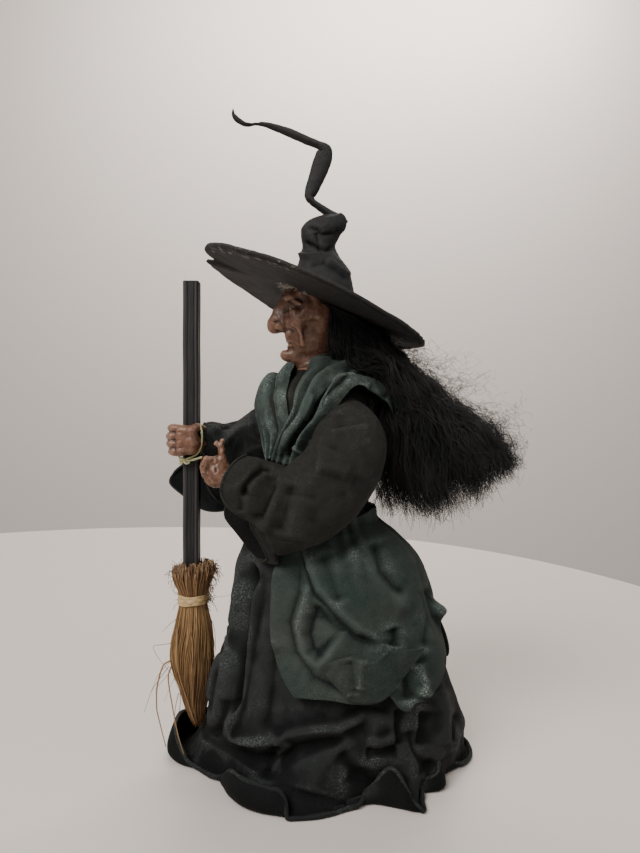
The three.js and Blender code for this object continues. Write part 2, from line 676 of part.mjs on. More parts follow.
function headOutline(grow = 0) {
  const skull = ball(HEAD_AT, 19 + grow, 16.5 + grow, 27 + grow, 18, 12);
  const nose = limb([[-16, 0, 272, 5, 7], [-25, 0, 266, 4, 5.5], [-31, 0, 260, 2.4, 3]], vec(0, 0, 1), grow, 10);
  const chin = ball(vec(-19, 0, 246), 6.5 + grow, 6 + grow, 5 + grow, 10, 6);
  const neck = post(-1, 0, 9 + grow, NECK_Z + 1, 256, 16);
  return join(skull, nose, chin, neck);
}

function head() {
  return cut(headOutline(), post(0, 0, SHAFT_R + GAP, NECK_Z - 1, SHAFT_TOP_Z + GAP, 24));
}

// A point of the brim: across is 0 at its middle and 1 at its rim, and over is the side.
function brimPoint(across, angle, over) {
  const r = BRIM_R * across;
  const droop = -7 * (across * Math.sin(angle)) ** 2;
  const p = vec(r * Math.cos(angle), r * Math.sin(angle), droop + over);
  return p.applyAxisAngle(vec(0, 1, 0), BRIM_TILT).add(BRIM_AT);
}

function brimOutline(grow = 0) {
  const geometry = new THREE.LatheGeometry(
    [[0, -1], [0.45, -1], [0.75, -1], [1, -1], [1, 1], [0.75, 1], [0.45, 1], [0, 1]]
      .map(([r, side]) => new THREE.Vector2(r, side)),
    28,
  );
  const position = geometry.attributes.position;
  for (let i = 0; i < position.count; i += 1) {
    const across = Math.hypot(position.getX(i), position.getZ(i));
    const angle = Math.atan2(position.getX(i), position.getZ(i));
    const reach = across + (across > 0.99 ? grow / BRIM_R : 0);
    const p = brimPoint(reach, angle, position.getY(i) * (BRIM_T / 2 + grow));
    position.setXYZ(i, p.x, p.y, p.z);
  }
  return solid(geometry);
}

// The crown narrows and twists upwards from the brim. Stations are [x, z, half width, half depth].
const CROWN = [
  [0, 268, 20.5, 19], [1, 281, 20, 19], [3, 294, 17.5, 17], [6, 304, 13.5, 14], [6.5, 312, 9.5, 10],
  [3.5, 320, 10.5, 8.5], [5, 327, 8.5, 6], [10, 331, 4, 3.5],
];

function crownOutline(grow = 0) {
  const sections = CROWN.map(([x, z, width, depth]) => ({
    at: vec(x, 0, z),
    u: vec(width + grow, 0, 0).applyAxisAngle(vec(0, 1, 0), z < 300 ? BRIM_TILT * 0.9 : 0),
    v: vec(0, depth + grow, 0),
  }));
  return lofted(sections.reverse(), 18);
}

function hatCrown() {
  const below = box(-60, 60, -60, 60, -30, 0);
  const trim = below.rotate(0, (BRIM_TILT * 180) / Math.PI, 0).translate(BRIM_AT.x, 0, BRIM_AT.z - 3);
  return cut(crownOutline(), headOutline(SNUG), trim);
}

function hatBrim() {
  return cut(brimOutline(), crownOutline(SNUG), headOutline(SNUG));
}

// The hat's drawn-out point, a flattened strip folded to and fro above the crown.
const TIP = [
  [13.5, 332, 4.6], [12, 336, 3.8], [2, 342, 3], [-7, 347.5, 3.8], [-3, 356, 4.2], [3, 366, 4.2],
  [4.5, 371.5, 4], [-8, 378, 3.2], [-22, 385, 2.8], [-38, 390, 2.2], [-48, 391.5, 1.8],
  [-54, 397, 1.3], [-55.5, 400, 0.9],
];

function hatTip() {
  const middles = TIP.map(([x, z]) => vec(x, 0, z));
  const sections = TIP.map(([, , half], i) => {
    const before = middles[Math.max(i - 1, 0)];
    const after = middles[Math.min(i + 1, TIP.length - 1)];
    const along = after.clone().sub(before).normalize();
    const across = along.clone().cross(vec(0, 1, 0)).normalize();
    return { at: middles[i], u: across.multiplyScalar(half), v: vec(0, Math.max(half * 0.45, 0.7), 0) };
  });
  return cut(lofted(sections.reverse(), 8), crownOutline(SNUG));
}

// The wig falls from under the brim and streams out behind the shoulders.
const WIG = [
  [6, 284, 15, 19], [11, 270, 15, 20], [17, 256, 14, 21], [30, 242, 13, 20], [50, 227, 15, 20],
  [66, 209, 21, 23], [80, 190, 26, 26], [90, 174, 25, 27], [97, 163, 17, 24],
];

function hair() {
  const middles = WIG.map(([x, z]) => vec(x, 0, z));
  const sections = WIG.map(([, , width, depth], i) => {
    const before = middles[Math.max(i - 1, 0)];
    const after = middles[Math.min(i + 1, WIG.length - 1)];
    const along = after.clone().sub(before).normalize();
    const across = along.clone().cross(vec(0, 1, 0)).normalize();
    return { at: middles[i], u: across.multiplyScalar(width), v: vec(0, depth, 0) };
  });
  const face = box(-40, -1, -40, 40, 200, 300);
  return cut(lofted(sections, 16), headOutline(SNUG), brimOutline(SNUG), crownOutline(SNUG), face, sweptShoulders());
}

// The room that the shawl and sleeves take as the head turns past them.
function sweptShoulders() {
  return turned(0, 0, [[0, 100], [47, 100], [47, 225], [40, 236], [24, 246], [0, 246]], 28);
}

// ---------------------------------------------------------------- assembly

function addBase() {
  add("base_plate", basePlate(), "plastic");
  add("battery_box", batteryBox(), "plastic");
  for (let i = 0; i < 3; i += 1) add(`battery_${i + 1}`, cell(i), "cell_jacket");
  add("contact_plate_left", contactPlate(-1), "steel");
  add("contact_plate_right", contactPlate(1), "steel");
  add("battery_door", batteryDoor(), "plastic");
  add("door_hinge_pin", doorHingePin(), "steel");
  add("switch_body", switchBody(), "plastic");
  add("switch_slider", switchSlider(), "plastic");
  SCREWS.forEach(([x, y], i) => add(`base_screw_${i + 1}`, screw(x, y), "steel"));
}

function addDrive() {
  const bush = (z0, z1, outer) => turned(0, 0, ringProfile(SHAFT_R + 0.08, outer, z0, z1), 20);
  add("gearbox_case", gearboxCase(), "plastic");
  add("gearbox_cover", gearboxCover(), "plastic");
  add("motor", motor(), "steel");
  add("motor_pinion", motorPinion(), "brass");
  add("reduction_gear", reductionGear(), "gear_plastic");
  add("gear_pin", gearPin(), "steel");
  add("sector_gear", sectorGear(), "gear_plastic");
  add("neck_shaft", post(0, 0, SHAFT_R, CASE_FLOOR_Z + 0.6, SHAFT_TOP_Z, 24), "steel");
  add("lower_bush", bush(CASE_FLOOR_Z + 0.2, UPPER_GEAR_Z - 0.6, 3), "brass");
  add("upper_bush", bush(SPINE_TOP_Z + GAP, SPINE_TOP_Z + 4, SPINE_R), "brass");
  add("spine_tube", turned(0, 0, ringProfile(SPINE_BORE_R, SPINE_R, COVER_Z + CASE_T + 1.4, SPINE_TOP_Z)), "aluminium");
  add("control_board", controlBoard(), "board");
  Object.entries(LEADS).forEach(([name, points]) => {
    add(name, wire(points, 0.7, 9), name.endsWith("red") ? "red_lead" : "black_lead");
  });
}

function addBody() {
  const leftWire = armWire(LEFT_ARM_WIRE, GAP);
  const rightWire = armWire(RIGHT_ARM_WIRE, GAP);
  const spineRoom = post(0, 0, SPINE_R + GAP, 60, 260, 24);
  const bodiceOuter = torsoOutline(BODICE_T);
  const bodiceRoom = torsoOutline(BODICE_T + SNUG, 120, NECK_Z + 1);
  const shawlRoom = shawlOutline(SNUG);
  const skirtRoom = skirtOutline(SNUG, 2);
  add("shoulder_block", cut(shoulderBlock(), spineRoom, leftWire, rightWire), "plastic");
  add("torso_padding", cut(torsoOutline(0), shoulderBlock(GAP), spineRoom, leftWire, rightWire), "foam");
  const above = box(-90, 90, -90, 90, 146.4, 260);
  const bodice = cut(bodiceOuter.intersect(above), torsoOutline(GAP, 100, 260), spineRoom, leftWire, rightWire);
  add("dress_bodice", bodice, "black_cloth");
  const neckRoom = turned(0, 0, [[0, 232], [14, 232], [26, 242], [26, 260], [0, 260]], 32);
  add("shawl", cut(shawlOutline(), bodiceRoom, neckRoom, leftWire, rightWire), "green_cloth");
  add("left_arm_wire", armWire(LEFT_ARM_WIRE), "steel");
  add("right_arm_wire", armWire(RIGHT_ARM_WIRE), "steel");
  const waistRoom = torsoOutline(GAP, 100, 260);
  const innerSkirt = column((a, z) => skirtRadius(a, z) - SKIRT_T, skirtMiddle, SKIRT_HEIGHTS.map((z, i) => (i ? z : -1)), 44);
  const waistband = innerSkirt.subtract(box(-99, 99, -99, 99, 141, 200));
  add("dress_skirt", cut(skirtOutline(), waistband, waistRoom, bundleOutline(1)), "black_cloth");
  const apronRoom = apron();
  add("apron", cut(apronRoom, skirtRoom, bodiceRoom), "green_cloth");
  const handRooms = [rightHand(), leftHand()];
  const sleeveCuts = [bodiceRoom, shawlRoom, skirtRoom, apronGrown()];
  const leftCuff = limb([[-40, -35, 164, 13, 7], [-70, -20, 174, 18, 10]], SLEEVE_REFERENCE, 0, 14);
  const rightCuff = limb([[-64, 14, 194, 8, 8], [-78, 0, 196, 12, 11]], vec(0, 0, 1), 0, 14);
  const stickRoom = post(...STICK_AT, 8, 60, 300, 16);
  add("left_sleeve", cut(leftSleeve(), ...sleeveCuts, leftWire, leftCuff), "black_cloth");
  add("right_sleeve", cut(rightSleeve(), ...sleeveCuts, rightWire, rightCuff, stickRoom), "black_cloth");
  add("right_hand", handRooms[0], "skin");
  add("left_hand", handRooms[1], "skin");
}

function apronGrown() {
  return column((a, z) => skirtRadius(a, z) + 14.5, skirtMiddle, [40, 62, 104, 146.5], 44);
}

function addHead() {
  add("head", head(), "skin");
  add("hair", hair(), "hair");
  add("hat_brim", hatBrim(), "black_cloth");
  add("hat_crown", hatCrown(), "black_cloth");
  add("hat_tip", hatTip(), "black_cloth");
}

function addBroom() {
  add("broom_stick", stickBar(STICK_HALF, STICK_CHAMFER, STICK_FOOT_Z, STICK_TOP_Z), "stick");
  add("bristle_bundle", bristleBundle(), "bristle");
  add("broom_binding", broomBinding(), "raffia");
  add("hand_tie", handTie(), "tie");
}

addBase();
addDrive();
addBody();
addHead();
addBroom();

export default figure;
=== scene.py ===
"""The witch figure's looks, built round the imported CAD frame.

Shapes are worked out in millimetres in the CAD's frame (+Z up, the head faces -X, the camera looks
along +Y) and become metres when a mesh is made. "Seen" coordinates are where a point shows on the
plane through the neck shaft, looked at from the camera's place.

Short names mean the same throughout: p is a block of points, usually a grid of rows and columns, n its
normals, q its seen coordinates, a an angle round it, s and t shares of the way along, u, v and w shares
of the way across, and g a seeded random generator.
"""
import json
import math

import bpy
import numpy as np
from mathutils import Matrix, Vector


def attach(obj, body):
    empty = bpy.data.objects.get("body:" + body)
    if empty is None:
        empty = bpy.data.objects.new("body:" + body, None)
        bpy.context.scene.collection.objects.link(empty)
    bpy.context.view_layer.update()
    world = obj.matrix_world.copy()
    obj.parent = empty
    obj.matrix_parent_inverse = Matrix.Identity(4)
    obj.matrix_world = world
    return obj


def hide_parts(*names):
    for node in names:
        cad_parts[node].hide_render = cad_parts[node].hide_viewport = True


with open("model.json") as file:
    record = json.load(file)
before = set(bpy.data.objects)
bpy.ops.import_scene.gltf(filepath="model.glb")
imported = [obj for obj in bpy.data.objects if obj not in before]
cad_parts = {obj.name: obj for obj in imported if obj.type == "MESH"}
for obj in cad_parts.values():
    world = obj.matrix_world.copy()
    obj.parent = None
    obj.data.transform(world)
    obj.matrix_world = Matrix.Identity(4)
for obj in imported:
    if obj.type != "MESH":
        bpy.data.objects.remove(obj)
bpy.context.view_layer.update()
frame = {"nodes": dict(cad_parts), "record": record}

MM = 0.001
TAU = 2 * math.pi
CAMERA_BACK, CAMERA_UP = 415.0, 202.0
CAMERA_AT = np.array([0.0, -CAMERA_BACK, CAMERA_UP])
STICK_AT = (-79.0, -5.0)
SIDES = (-1, 1)  # the face's two sides along Y, the camera's side first


# ------------------------------------------------------------------ small maths

def smooth(a, b, x):
    """0 at a, 1 at b, with a gentle start and end."""
    t = np.clip((np.asarray(x, float) - a) / (b - a), 0, 1)
    return t * t * (3 - 2 * t)


def curve(pairs, at):
    """Smooth values through (position, value) pairs, flat beyond the ends."""
    xs, ys = np.array(pairs, float).T
    at = np.clip(np.asarray(at, float), xs[0], xs[-1])
    slope = np.gradient(ys, xs)
    i = np.clip(np.searchsorted(xs, at, side="right") - 1, 0, len(xs) - 2)
    h = xs[i + 1] - xs[i]
    t = (at - xs[i]) / h
    return ((1 + 2 * t) * (1 - t) ** 2 * ys[i] + t * (1 - t) ** 2 * h * slope[i]
            + t * t * (3 - 2 * t) * ys[i + 1] + t * t * (t - 1) * h * slope[i + 1])


def loop_curve(pairs, at):
    """As curve, but round a circle in degrees."""
    turned = [(a - 360, v) for a, v in pairs] + list(pairs) + [(a + 360, v) for a, v in pairs]
    return curve(turned, np.mod(at, 360))


def spline(points, count):
    """Points evenly spread in parameter along a Catmull-Rom curve. Columns beyond x, y, z ride along."""
    p = np.array(points, float)
    p = np.vstack([2 * p[0] - p[1], p, 2 * p[-1] - p[-2]])
    s = np.linspace(0, len(points) - 1, count)
    i = np.minimum(s.astype(int), len(points) - 2)
    t = (s - i)[:, None]
    a, b, c, d = p[i], p[i + 1], p[i + 2], p[i + 3]
    return 0.5 * (2 * b + (c - a) * t + (2 * a - 5 * b + 4 * c - d) * t ** 2
                  + (3 * b - a - 3 * c + d) * t ** 3)


_lattice = np.random.default_rng(5)
PERMUTED = _lattice.permutation(512)
GRADIENTS = _lattice.normal(size=(512, 3))
GRADIENTS /= np.linalg.norm(GRADIENTS, axis=1)[:, None]


def noise(p):
    """Gradient noise, about -1 to 1."""
    base = np.floor(p).astype(int)
    f = p - base
    w = f * f * f * (f * (f * 6 - 15) + 10)
    total = np.zeros(p.shape[:-1])
    for corner in range(8):
        step = np.array([corner & 1, corner >> 1 & 1, corner >> 2 & 1])
        cell = (base + step) & 511
        h = PERMUTED[(PERMUTED[(PERMUTED[cell[..., 0]] + cell[..., 1]) & 511] + cell[..., 2]) & 511]
        weight = np.prod(np.where(step == 1, w, 1 - w), axis=-1)
        total += weight * np.sum(GRADIENTS[h] * (f - step), axis=-1)
    return total * 1.7


def crumple(p, size, warp=0.6):
    """Soft ridges between hollows, the way stiffened cloth wrinkles."""
    q = p / size
    bend = np.stack([noise(q * 0.7 + 31), noise(q * 0.7 + 57), noise(q * 0.7 + 83)], axis=-1)
    return 0.4 - np.sqrt(noise(q + warp * bend) ** 2 + 0.02) * 1.4


def wrinkles(p, large, middle, small=None, apart=9):
    """Crumpling of two or three sizes, each (height, size). `apart` keeps the second off the first."""
    total = large[0] * crumple(p, large[1]) + middle[0] * crumple(p + apart, middle[1])
    return total if small is None else total + small[0] * crumple(p, small[1])


def seen(p):
    """Where each point shows on the plane y = 0: columns are X and Z."""
    scale = CAMERA_BACK / (p[..., 1] + CAMERA_BACK)
    return np.stack([p[..., 0] * scale, CAMERA_UP + (p[..., 2] - CAMERA_UP) * scale], axis=-1)


def unseen(x, z, y):
    """The point at depth y that shows at x, z on the plane y = 0."""
    k = (CAMERA_BACK + y) / CAMERA_BACK
    return np.stack([x * k, y, CAMERA_UP + (z - CAMERA_UP) * k], axis=-1)


def around(cols):
    """Angles of a closed grid's columns, as one row."""
    return (np.arange(cols) / cols * TAU)[None, :]


# ------------------------------------------------------------------ surfaces as grids

def grid_normals(p, closed):
    if closed:
        across = np.roll(p, -1, axis=1) - np.roll(p, 1, axis=1)
    else:
        across = np.gradient(p, axis=1)
    n = np.cross(across, np.gradient(p, axis=0))
    return n / np.maximum(np.linalg.norm(n, axis=-1, keepdims=True), 1e-9)


def face_out(p, closed, out):
    """The grid with its columns turned, if need be, so its normals lean along `out`."""
    if np.sum(grid_normals(p, closed) * out) < 0:
        return p[:, ::-1]
    return p


def outward(p):
    """A closed grid with its normals leaning away from the middle of each of its rows."""
    return face_out(p, True, p - p.mean(axis=1, keepdims=True))


def blur(a, closed, times):
    """Each value averaged with its neighbours, a number of times over."""
    for _ in range(times):
        up = np.concatenate([a[:1], a[:-1]])
        down = np.concatenate([a[1:], a[-1:]])
        if closed:
            left, right = np.roll(a, 1, axis=1), np.roll(a, -1, axis=1)
        else:
            left = np.concatenate([a[:, :1], a[:, :-1]], axis=1)
            right = np.concatenate([a[:, 1:], a[:, -1:]], axis=1)
        a = 0.2 * (a + up + down + left + right)
    return a


def line_distance(q, points):
    """Distance from each q to a polyline, signed by the side it lies on, and how far along it is."""
    pts = np.array(points, float)[:, :2]
    lengths = np.linalg.norm(np.diff(pts, axis=0), axis=1)
    whole = lengths.sum()
    best = np.full(q.shape[:-1], 1e9)
    signed = np.zeros_like(best)
    along = np.zeros_like(best)
    start = 0.0
    for a, b, length in zip(pts[:-1], pts[1:], lengths):
        d = (b - a) / length
        rel = q - a
        t = np.clip(rel @ d, 0, length)
        off = rel - t[..., None] * d
        dist = np.linalg.norm(off, axis=-1)
        side = np.sign(d[0] * rel[..., 1] - d[1] * rel[..., 0])
        nearer = dist < best
        best = np.where(nearer, dist, best)
        signed = np.where(nearer, dist * side, signed)
        along = np.where(nearer, (start + t) / whole, along)
        start += length
    return signed, along


def stroke(q, points, height, left, right, ends=0.15):
    """A fold along a polyline in the plane of q: `height` on the line, falling away over `left` mm on
    its left-hand side and `right` mm on the other, and dying out towards its ends."""
    signed, along = line_distance(q, points)
    width = np.where(signed > 0, left, right)
    fade = smooth(0, ends, along) * smooth(0, ends, 1 - along)
    return height * fade * np.exp(-np.abs(signed / width) ** 1.5)


def strokes(q, folds):
    return sum(stroke(q, *fold) for fold in folds)


def facing(p, n):
    """1 where a surface faces the camera's side, 0 behind."""
    view = CAMERA_AT - p
    view /= np.linalg.norm(view, axis=-1, keepdims=True)
    return smooth(-0.05, 0.3, np.sum(view * n, axis=-1))


def ridge_mask(p, n, closed, times=23, scale=0.5):
    """How far each point stands out from its surroundings: above 0 on ridges, below 0 in folds."""
    return np.clip(np.sum((p - blur(p, closed, times)) * n, axis=-1) / scale, -1, 1)


def point_values(mesh, name, values):
    layer = mesh.attributes.new(name, "FLOAT", "POINT")
    layer.data.foreach_set("value", np.asarray(values, np.float32).ravel())


def new_object(name, verts, faces, material, rub=None, smooth_shade=True):
    mesh = bpy.data.meshes.new(name)
    mesh.from_pydata((np.asarray(verts) * MM).tolist(), [], faces)
    if smooth_shade:
        mesh.polygons.foreach_set("use_smooth", [True] * len(mesh.polygons))
    if rub is not None:
        point_values(mesh, "rub", rub)
    mesh.materials.append(material)
    obj = bpy.data.objects.new(name, mesh)
    bpy.context.scene.collection.objects.link(obj)
    return obj


def grid_faces(rows, cols, closed, offset=0):
    r, c = np.meshgrid(np.arange(rows - 1), np.arange(cols if closed else cols - 1), indexing="ij")
    nxt = (c + 1) % cols
    quads = np.stack([r * cols + c, r * cols + nxt, (r + 1) * cols + nxt, (r + 1) * cols + c], axis=-1)
    return (quads.reshape(-1, 4) + offset).tolist()


def capped(p):
    """Vertices and faces of a closed grid with a fan over each end."""
    rows, cols = p.shape[:2]
    verts = np.vstack([p.reshape(-1, 3), p[0].mean(axis=0)[None], p[-1].mean(axis=0)[None]])
    first, last = rows * cols, (rows - 1) * cols
    faces = grid_faces(rows, cols, True)
    faces += [[first, (i + 1) % cols, i] for i in range(cols)]
    faces += [[first + 1, last + i, last + (i + 1) % cols] for i in range(cols)]
    return verts, faces


def ring_tube(path, radius, sides):
    """A closed loop of path points given a round section, as a grid with one row round the section."""
    along = np.roll(path, -1, axis=0) - np.roll(path, 1, axis=0)
    along /= np.linalg.norm(along, axis=1)[:, None]
    u = np.cross(along, [0, 0, 1.0])
    u /= np.maximum(np.linalg.norm(u, axis=1)[:, None], 1e-6)
    v = np.cross(along, u)
    a = np.linspace(0, TAU, sides + 1)[:, None, None]
    p = path[None] + (u[None] * np.cos(a) + v[None] * np.sin(a)) * radius[None, :, None]
    return face_out(p, True, p - path[None])


def cloth(name, grids, material, thickness=1.1, rub_scale=0.5, shade=()):
    """One object of one or more grids, each (points, closed), given thickness on its inner side.
    `shade` is painted shade: it is taken off the first grid's rub values, which darkens it, and where it is
    below 0 it lightens it as a painted highlight."""
    verts, faces, rubs, at = [], [], [], 0
    for p, closed in grids:
        rows, cols = p.shape[:2]
        rubs.append(ridge_mask(p, grid_normals(p, closed), closed, scale=rub_scale).ravel())
        verts.append(p.reshape(-1, 3))
        faces += grid_faces(rows, cols, closed, at)
        at += rows * cols
    if len(shade):
        rubs[0] = rubs[0] - np.ravel(shade)
    obj = new_object(name, np.vstack(verts), faces, material, np.concatenate(rubs))
    if thickness:
        thick = obj.modifiers.new("thickness", "SOLIDIFY")
        thick.thickness = thickness * MM
        thick.offset = -1
        thick.use_even_offset = False
    return obj


# ------------------------------------------------------------------ materials

def material(name, colour, roughness, metallic=0.0, specular=0.5, coat=0.0, sheen=0.0):
    mat = bpy.data.materials.new(name)
    mat.use_nodes = True
    tree = mat.node_tree
    shader = tree.nodes["Principled BSDF"]
    shader.inputs["Base Color"].default_value = (*colour, 1)
    shader.inputs["Roughness"].default_value = roughness
    shader.inputs["Metallic"].default_value = metallic
    shader.inputs["Specular IOR Level"].default_value = specular
    shader.inputs["Coat Weight"].default_value = coat
    shader.inputs["Sheen Weight"].default_value = sheen
    return mat, Nodes(tree, shader)


class Nodes:
    """Short calls that add the nodes the materials share."""

    def __init__(self, tree, shader):
        self.tree = tree
        self.shader = shader
        self.coords = tree.nodes.new("ShaderNodeTexCoord").outputs["Object"]
        self.bumped = None

    def link(self, out, socket):
        self.tree.links.new(out, socket)

    def node(self, kind, values=(), **attributes):
        made = self.tree.nodes.new(kind)
        for key, value in attributes.items():
            setattr(made, key, value)
        for key, value in dict(values).items():
            if hasattr(value, "is_output"):
                self.link(value, made.inputs[key])
            else:
                made.inputs[key].default_value = value
        return made

    def stretch(self, x, y, z):
        return self.node("ShaderNodeMapping", {"Vector": self.coords, "Scale": (x, y, z)}).outputs[0]

    def noise(self, scale, detail=4, rough=0.55, vector=None, distortion=0.0):
        return self.node("ShaderNodeTexNoise", {
            "Vector": vector or self.coords, "Scale": scale, "Detail": detail, "Roughness": rough,
            "Distortion": distortion}).outputs["Fac"]

    def wave(self, scale, direction, distortion):
        return self.node("ShaderNodeTexWave", {
            "Vector": self.coords, "Scale": scale, "Distortion": distortion},
            bands_direction=direction).outputs["Fac"]

    def ramp(self, fac, *stops):
        made = self.node("ShaderNodeValToRGB", {"Fac": fac})
        elements = made.color_ramp.elements
        while len(elements) < len(stops):
            elements.new(0.5)
        for element, (position, value) in zip(elements, stops):
            element.position = position
            element.color = (*value, 1) if isinstance(value, tuple) else (value, value, value, 1)
        return made.outputs["Color"]

    def maths(self, operation, a, b=0.0):
        return self.node("ShaderNodeMath", {0: a, 1: b}, operation=operation).outputs[0]

    def times(self, a, b):
        return self.maths("MULTIPLY", a, b)

    def mix(self, fac, a, b):
        made = self.tree.nodes.new("ShaderNodeMix")
        made.data_type = "RGBA"
        for index, value in ((0, fac), (6, a), (7, b)):
            if hasattr(value, "is_output"):
                self.link(value, made.inputs[index])
            else:
                made.inputs[index].default_value = (*value, 1) if isinstance(value, tuple) else value
        return made.outputs[2]

    def attribute(self, name):
        return self.node("ShaderNodeAttribute", attribute_name=name).outputs["Fac"]

    def colour(self, out):
        self.link(out, self.shader.inputs["Base Color"])

    def rough(self, fac, low, high):
        spread = self.node("ShaderNodeMapRange", {"Value": fac, "To Min": low, "To Max": high})
        self.link(spread.outputs[0], self.shader.inputs["Roughness"])

    def bump(self, height, distance, strength=1.0):
        values = {"Height": height, "Distance": distance * MM, "Strength": strength}
        made = self.node("ShaderNodeBump", values)
        if self.bumped:
            self.link(self.bumped, made.inputs["Normal"])
        self.bumped = made.outputs["Normal"]
        self.link(self.bumped, self.shader.inputs["Normal"])


def darker(colour, share):
    return tuple(share * c for c in colour)


GROUND_SHADE_TOP = 0.062  # metres above the table where the cloth's painted shade towards the ground stops
THREADS_PER_METRE = 1500


def cloth_material(name, base, tint, pale, wear_and_highlight_amount, rough=(0.72, 0.92), flecks=None, specular=0.1):
    """Stiffened cloth: mottled, frosted where its ridges are rubbed (rubbed wear and a painted highlight),
    and darker with painted shade in its folds and near the ground."""
    mat, n = material(name, base, 0.75, specular=specular, sheen=0.02)
    mottled = n.mix(n.ramp(n.noise(22, 5, 0.6), (0.35, 0.0), (0.7, 1.0)), base, tint)
    rub = n.attribute("rub")
    # Painted shade: the cloth darkens in its folds.
    fold = n.ramp(n.times(rub, -1.0), (0.05, 0.0), (0.9, 1.0))
    shaded = n.mix(fold, mottled, darker(base, 0.25))
    # Painted shade: the cloth darkens towards the ground.
    height = n.node("ShaderNodeSeparateXYZ", {0: n.coords}).outputs["Z"]
    low = n.node("ShaderNodeMapRange", {
        "Value": height, "From Min": 0.0, "From Max": GROUND_SHADE_TOP, "To Min": 0.85, "To Max": 0.0}).outputs[0]
    shaded = n.mix(low, shaded, darker(base, 0.22))
    fine = n.ramp(n.noise(1700, 2, 0.5), (0.35, 0.0), (0.65, 1.0))
    grain = n.ramp(n.noise(1250, 3, 0.6), (0.48, 0.0), (0.66, 1.0))
    patches = n.ramp(n.noise(32, 4, 0.6), (0.46, 0.0), (0.68, 1.0))
    # Frosting on the ridges: rubbed wear of the stiffener and a painted highlight.
    ridge = n.ramp(rub, (0.0, 0.0), (0.7, 1.0))
    worn = n.times(n.times(ridge, n.maths("ADD", n.times(grain, patches), 0.10)), wear_and_highlight_amount)
    colour = n.mix(n.node("ShaderNodeClamp", {0: worn}).outputs[0], shaded, pale)
    above = n.maths("SUBTRACT", 1.0, n.times(low, 0.8))
    colour = n.mix(n.times(n.times(fine, 0.05), above), colour, pale)
    if flecks:
        spots = n.ramp(n.noise(230, 4, 0.65), (0.56, 0.0), (0.66, 0.75))
        colour = n.mix(n.times(spots, n.attribute("flecks")), colour, flecks)
    n.colour(colour)
    n.rough(n.noise(40, 4), *rough)
    threads = n.maths("ADD", *(n.wave(THREADS_PER_METRE / TAU, way, 1.5) for way in "XZ"))
    n.bump(n.noise(150, 6, 0.7), 0.4, 0.6)
    n.bump(n.noise(900, 3, 0.6), 0.3, 0.8)
    n.bump(threads, 0.05, 0.5)
    return mat


# Each cloth's ground colour, the tint that mottles it, its rubbed colour and how far that is laid on its
# ridges, as rubbed wear and painted highlight.
BLACK_CLOTH = cloth_material(
    "black_cloth", (0.0098, 0.0120, 0.0122), (0.0180, 0.0190, 0.0178), (0.13, 0.145, 0.14), 0.7)
SLEEVE_CLOTH = cloth_material(
    "sleeve_cloth", (0.0105, 0.0112, 0.0104), (0.0180, 0.0170, 0.0142), (0.13, 0.13, 0.115), 0.45)
GREEN_CLOTH = cloth_material(
    "green_cloth", (0.0150, 0.0265, 0.0230), (0.0315, 0.0350, 0.0285), (0.25, 0.305, 0.285), 0.85)
SHAWL_CLOTH = cloth_material(
    "shawl_cloth_green", (0.0205, 0.0345, 0.0300), (0.0380, 0.0450, 0.0375), (0.27, 0.33, 0.31), 0.85)
HAT_CLOTH = cloth_material(
    "hat_cloth", (0.0135, 0.0145, 0.0155), (0.026, 0.023, 0.020), (0.12, 0.12, 0.12), 0.5,
    rough=(0.6, 0.85), flecks=(0.30, 0.29, 0.25), specular=0.2)


def plain_materials():
    """Materials of the CAD pieces that keep their shapes, by record slot."""
    made = {}
    for name, colour, rough, metal in (
        ("black_plastic", (0.02, 0.02, 0.021), 0.5, 0.0), ("gear_plastic", (0.7, 0.68, 0.6), 0.4, 0.0),
        ("foam", (0.6, 0.55, 0.42), 0.9, 0.0), ("steel", (0.55, 0.55, 0.56), 0.3, 1.0),
        ("spine_aluminium", (0.7, 0.7, 0.72), 0.35, 1.0), ("brass", (0.72, 0.48, 0.16), 0.3, 1.0),
        ("cell", (0.05, 0.14, 0.08), 0.35, 0.0), ("board", (0.02, 0.11, 0.04), 0.4, 0.0),
        ("red_lead", (0.45, 0.02, 0.015), 0.45, 0.0), ("black_lead", (0.012, 0.012, 0.012), 0.45, 0.0),
    ):
        mat, n = material(name, colour, rough, metallic=metal)
        bright = tuple(min(1, 1.15 * c) for c in colour)
        n.colour(n.mix(n.noise(180, 5), darker(colour, 0.8), bright))
        n.rough(n.noise(90, 4), max(0.15, rough - 0.12), min(1, rough + 0.12))
        n.bump(n.noise(1400, 3), 0.03, 0.6)
        made[name] = mat
    return made


PLAIN = plain_materials()


def dress_cad_nodes():
    """CAD nodes whose shape is right keep it, and get a full material by their record slot."""
    for part in frame["record"]["subparts"]:
        if part["material_slot"] in PLAIN:
            obj = frame["nodes"][part["node"]]
            for slot in obj.material_slots:
                slot.material = PLAIN[part["material_slot"]]
            if not obj.material_slots:
                obj.data.materials.append(PLAIN[part["material_slot"]])


def finish_piece(obj, body, slot_name, *nodes):
    """Puts a piece on its body, and hides the CAD nodes that it stands for. Its slot_name is not used."""
    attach(obj, body)
    if nodes:
        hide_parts(*nodes)


# ------------------------------------------------------------------ skirt

def skirt_middle(z):
    return curve([(0, 0), (9, 3), (14, 8), (32, 9), (62, 8), (120, 5), (146, 2)], z)


def skirt_wall(angle, z):
    """The plain skirt's reach from its middle: an oval that stands out in front, gathered to the
    bodice at the waist."""
    oval = 1 / np.hypot(np.cos(angle), np.sin(angle) / 0.84)
    front = np.exp(-((np.degrees(angle) - 180) / 26) ** 2)
    full = curve([(13, 77), (32, 73), (62, 65), (93, 57), (120, 49), (146, 38)], z)
    step = curve([(13, 1), (30, 3), (52, 5), (62, 4), (70, -2), (90, 0), (110, 4), (130, 6), (146, 4)], z)
    waist = smooth(137, 151, z)
    return (full * oval + front * step) * (1 - waist) + (bodice_reach(angle, 150) + 3.0) * waist


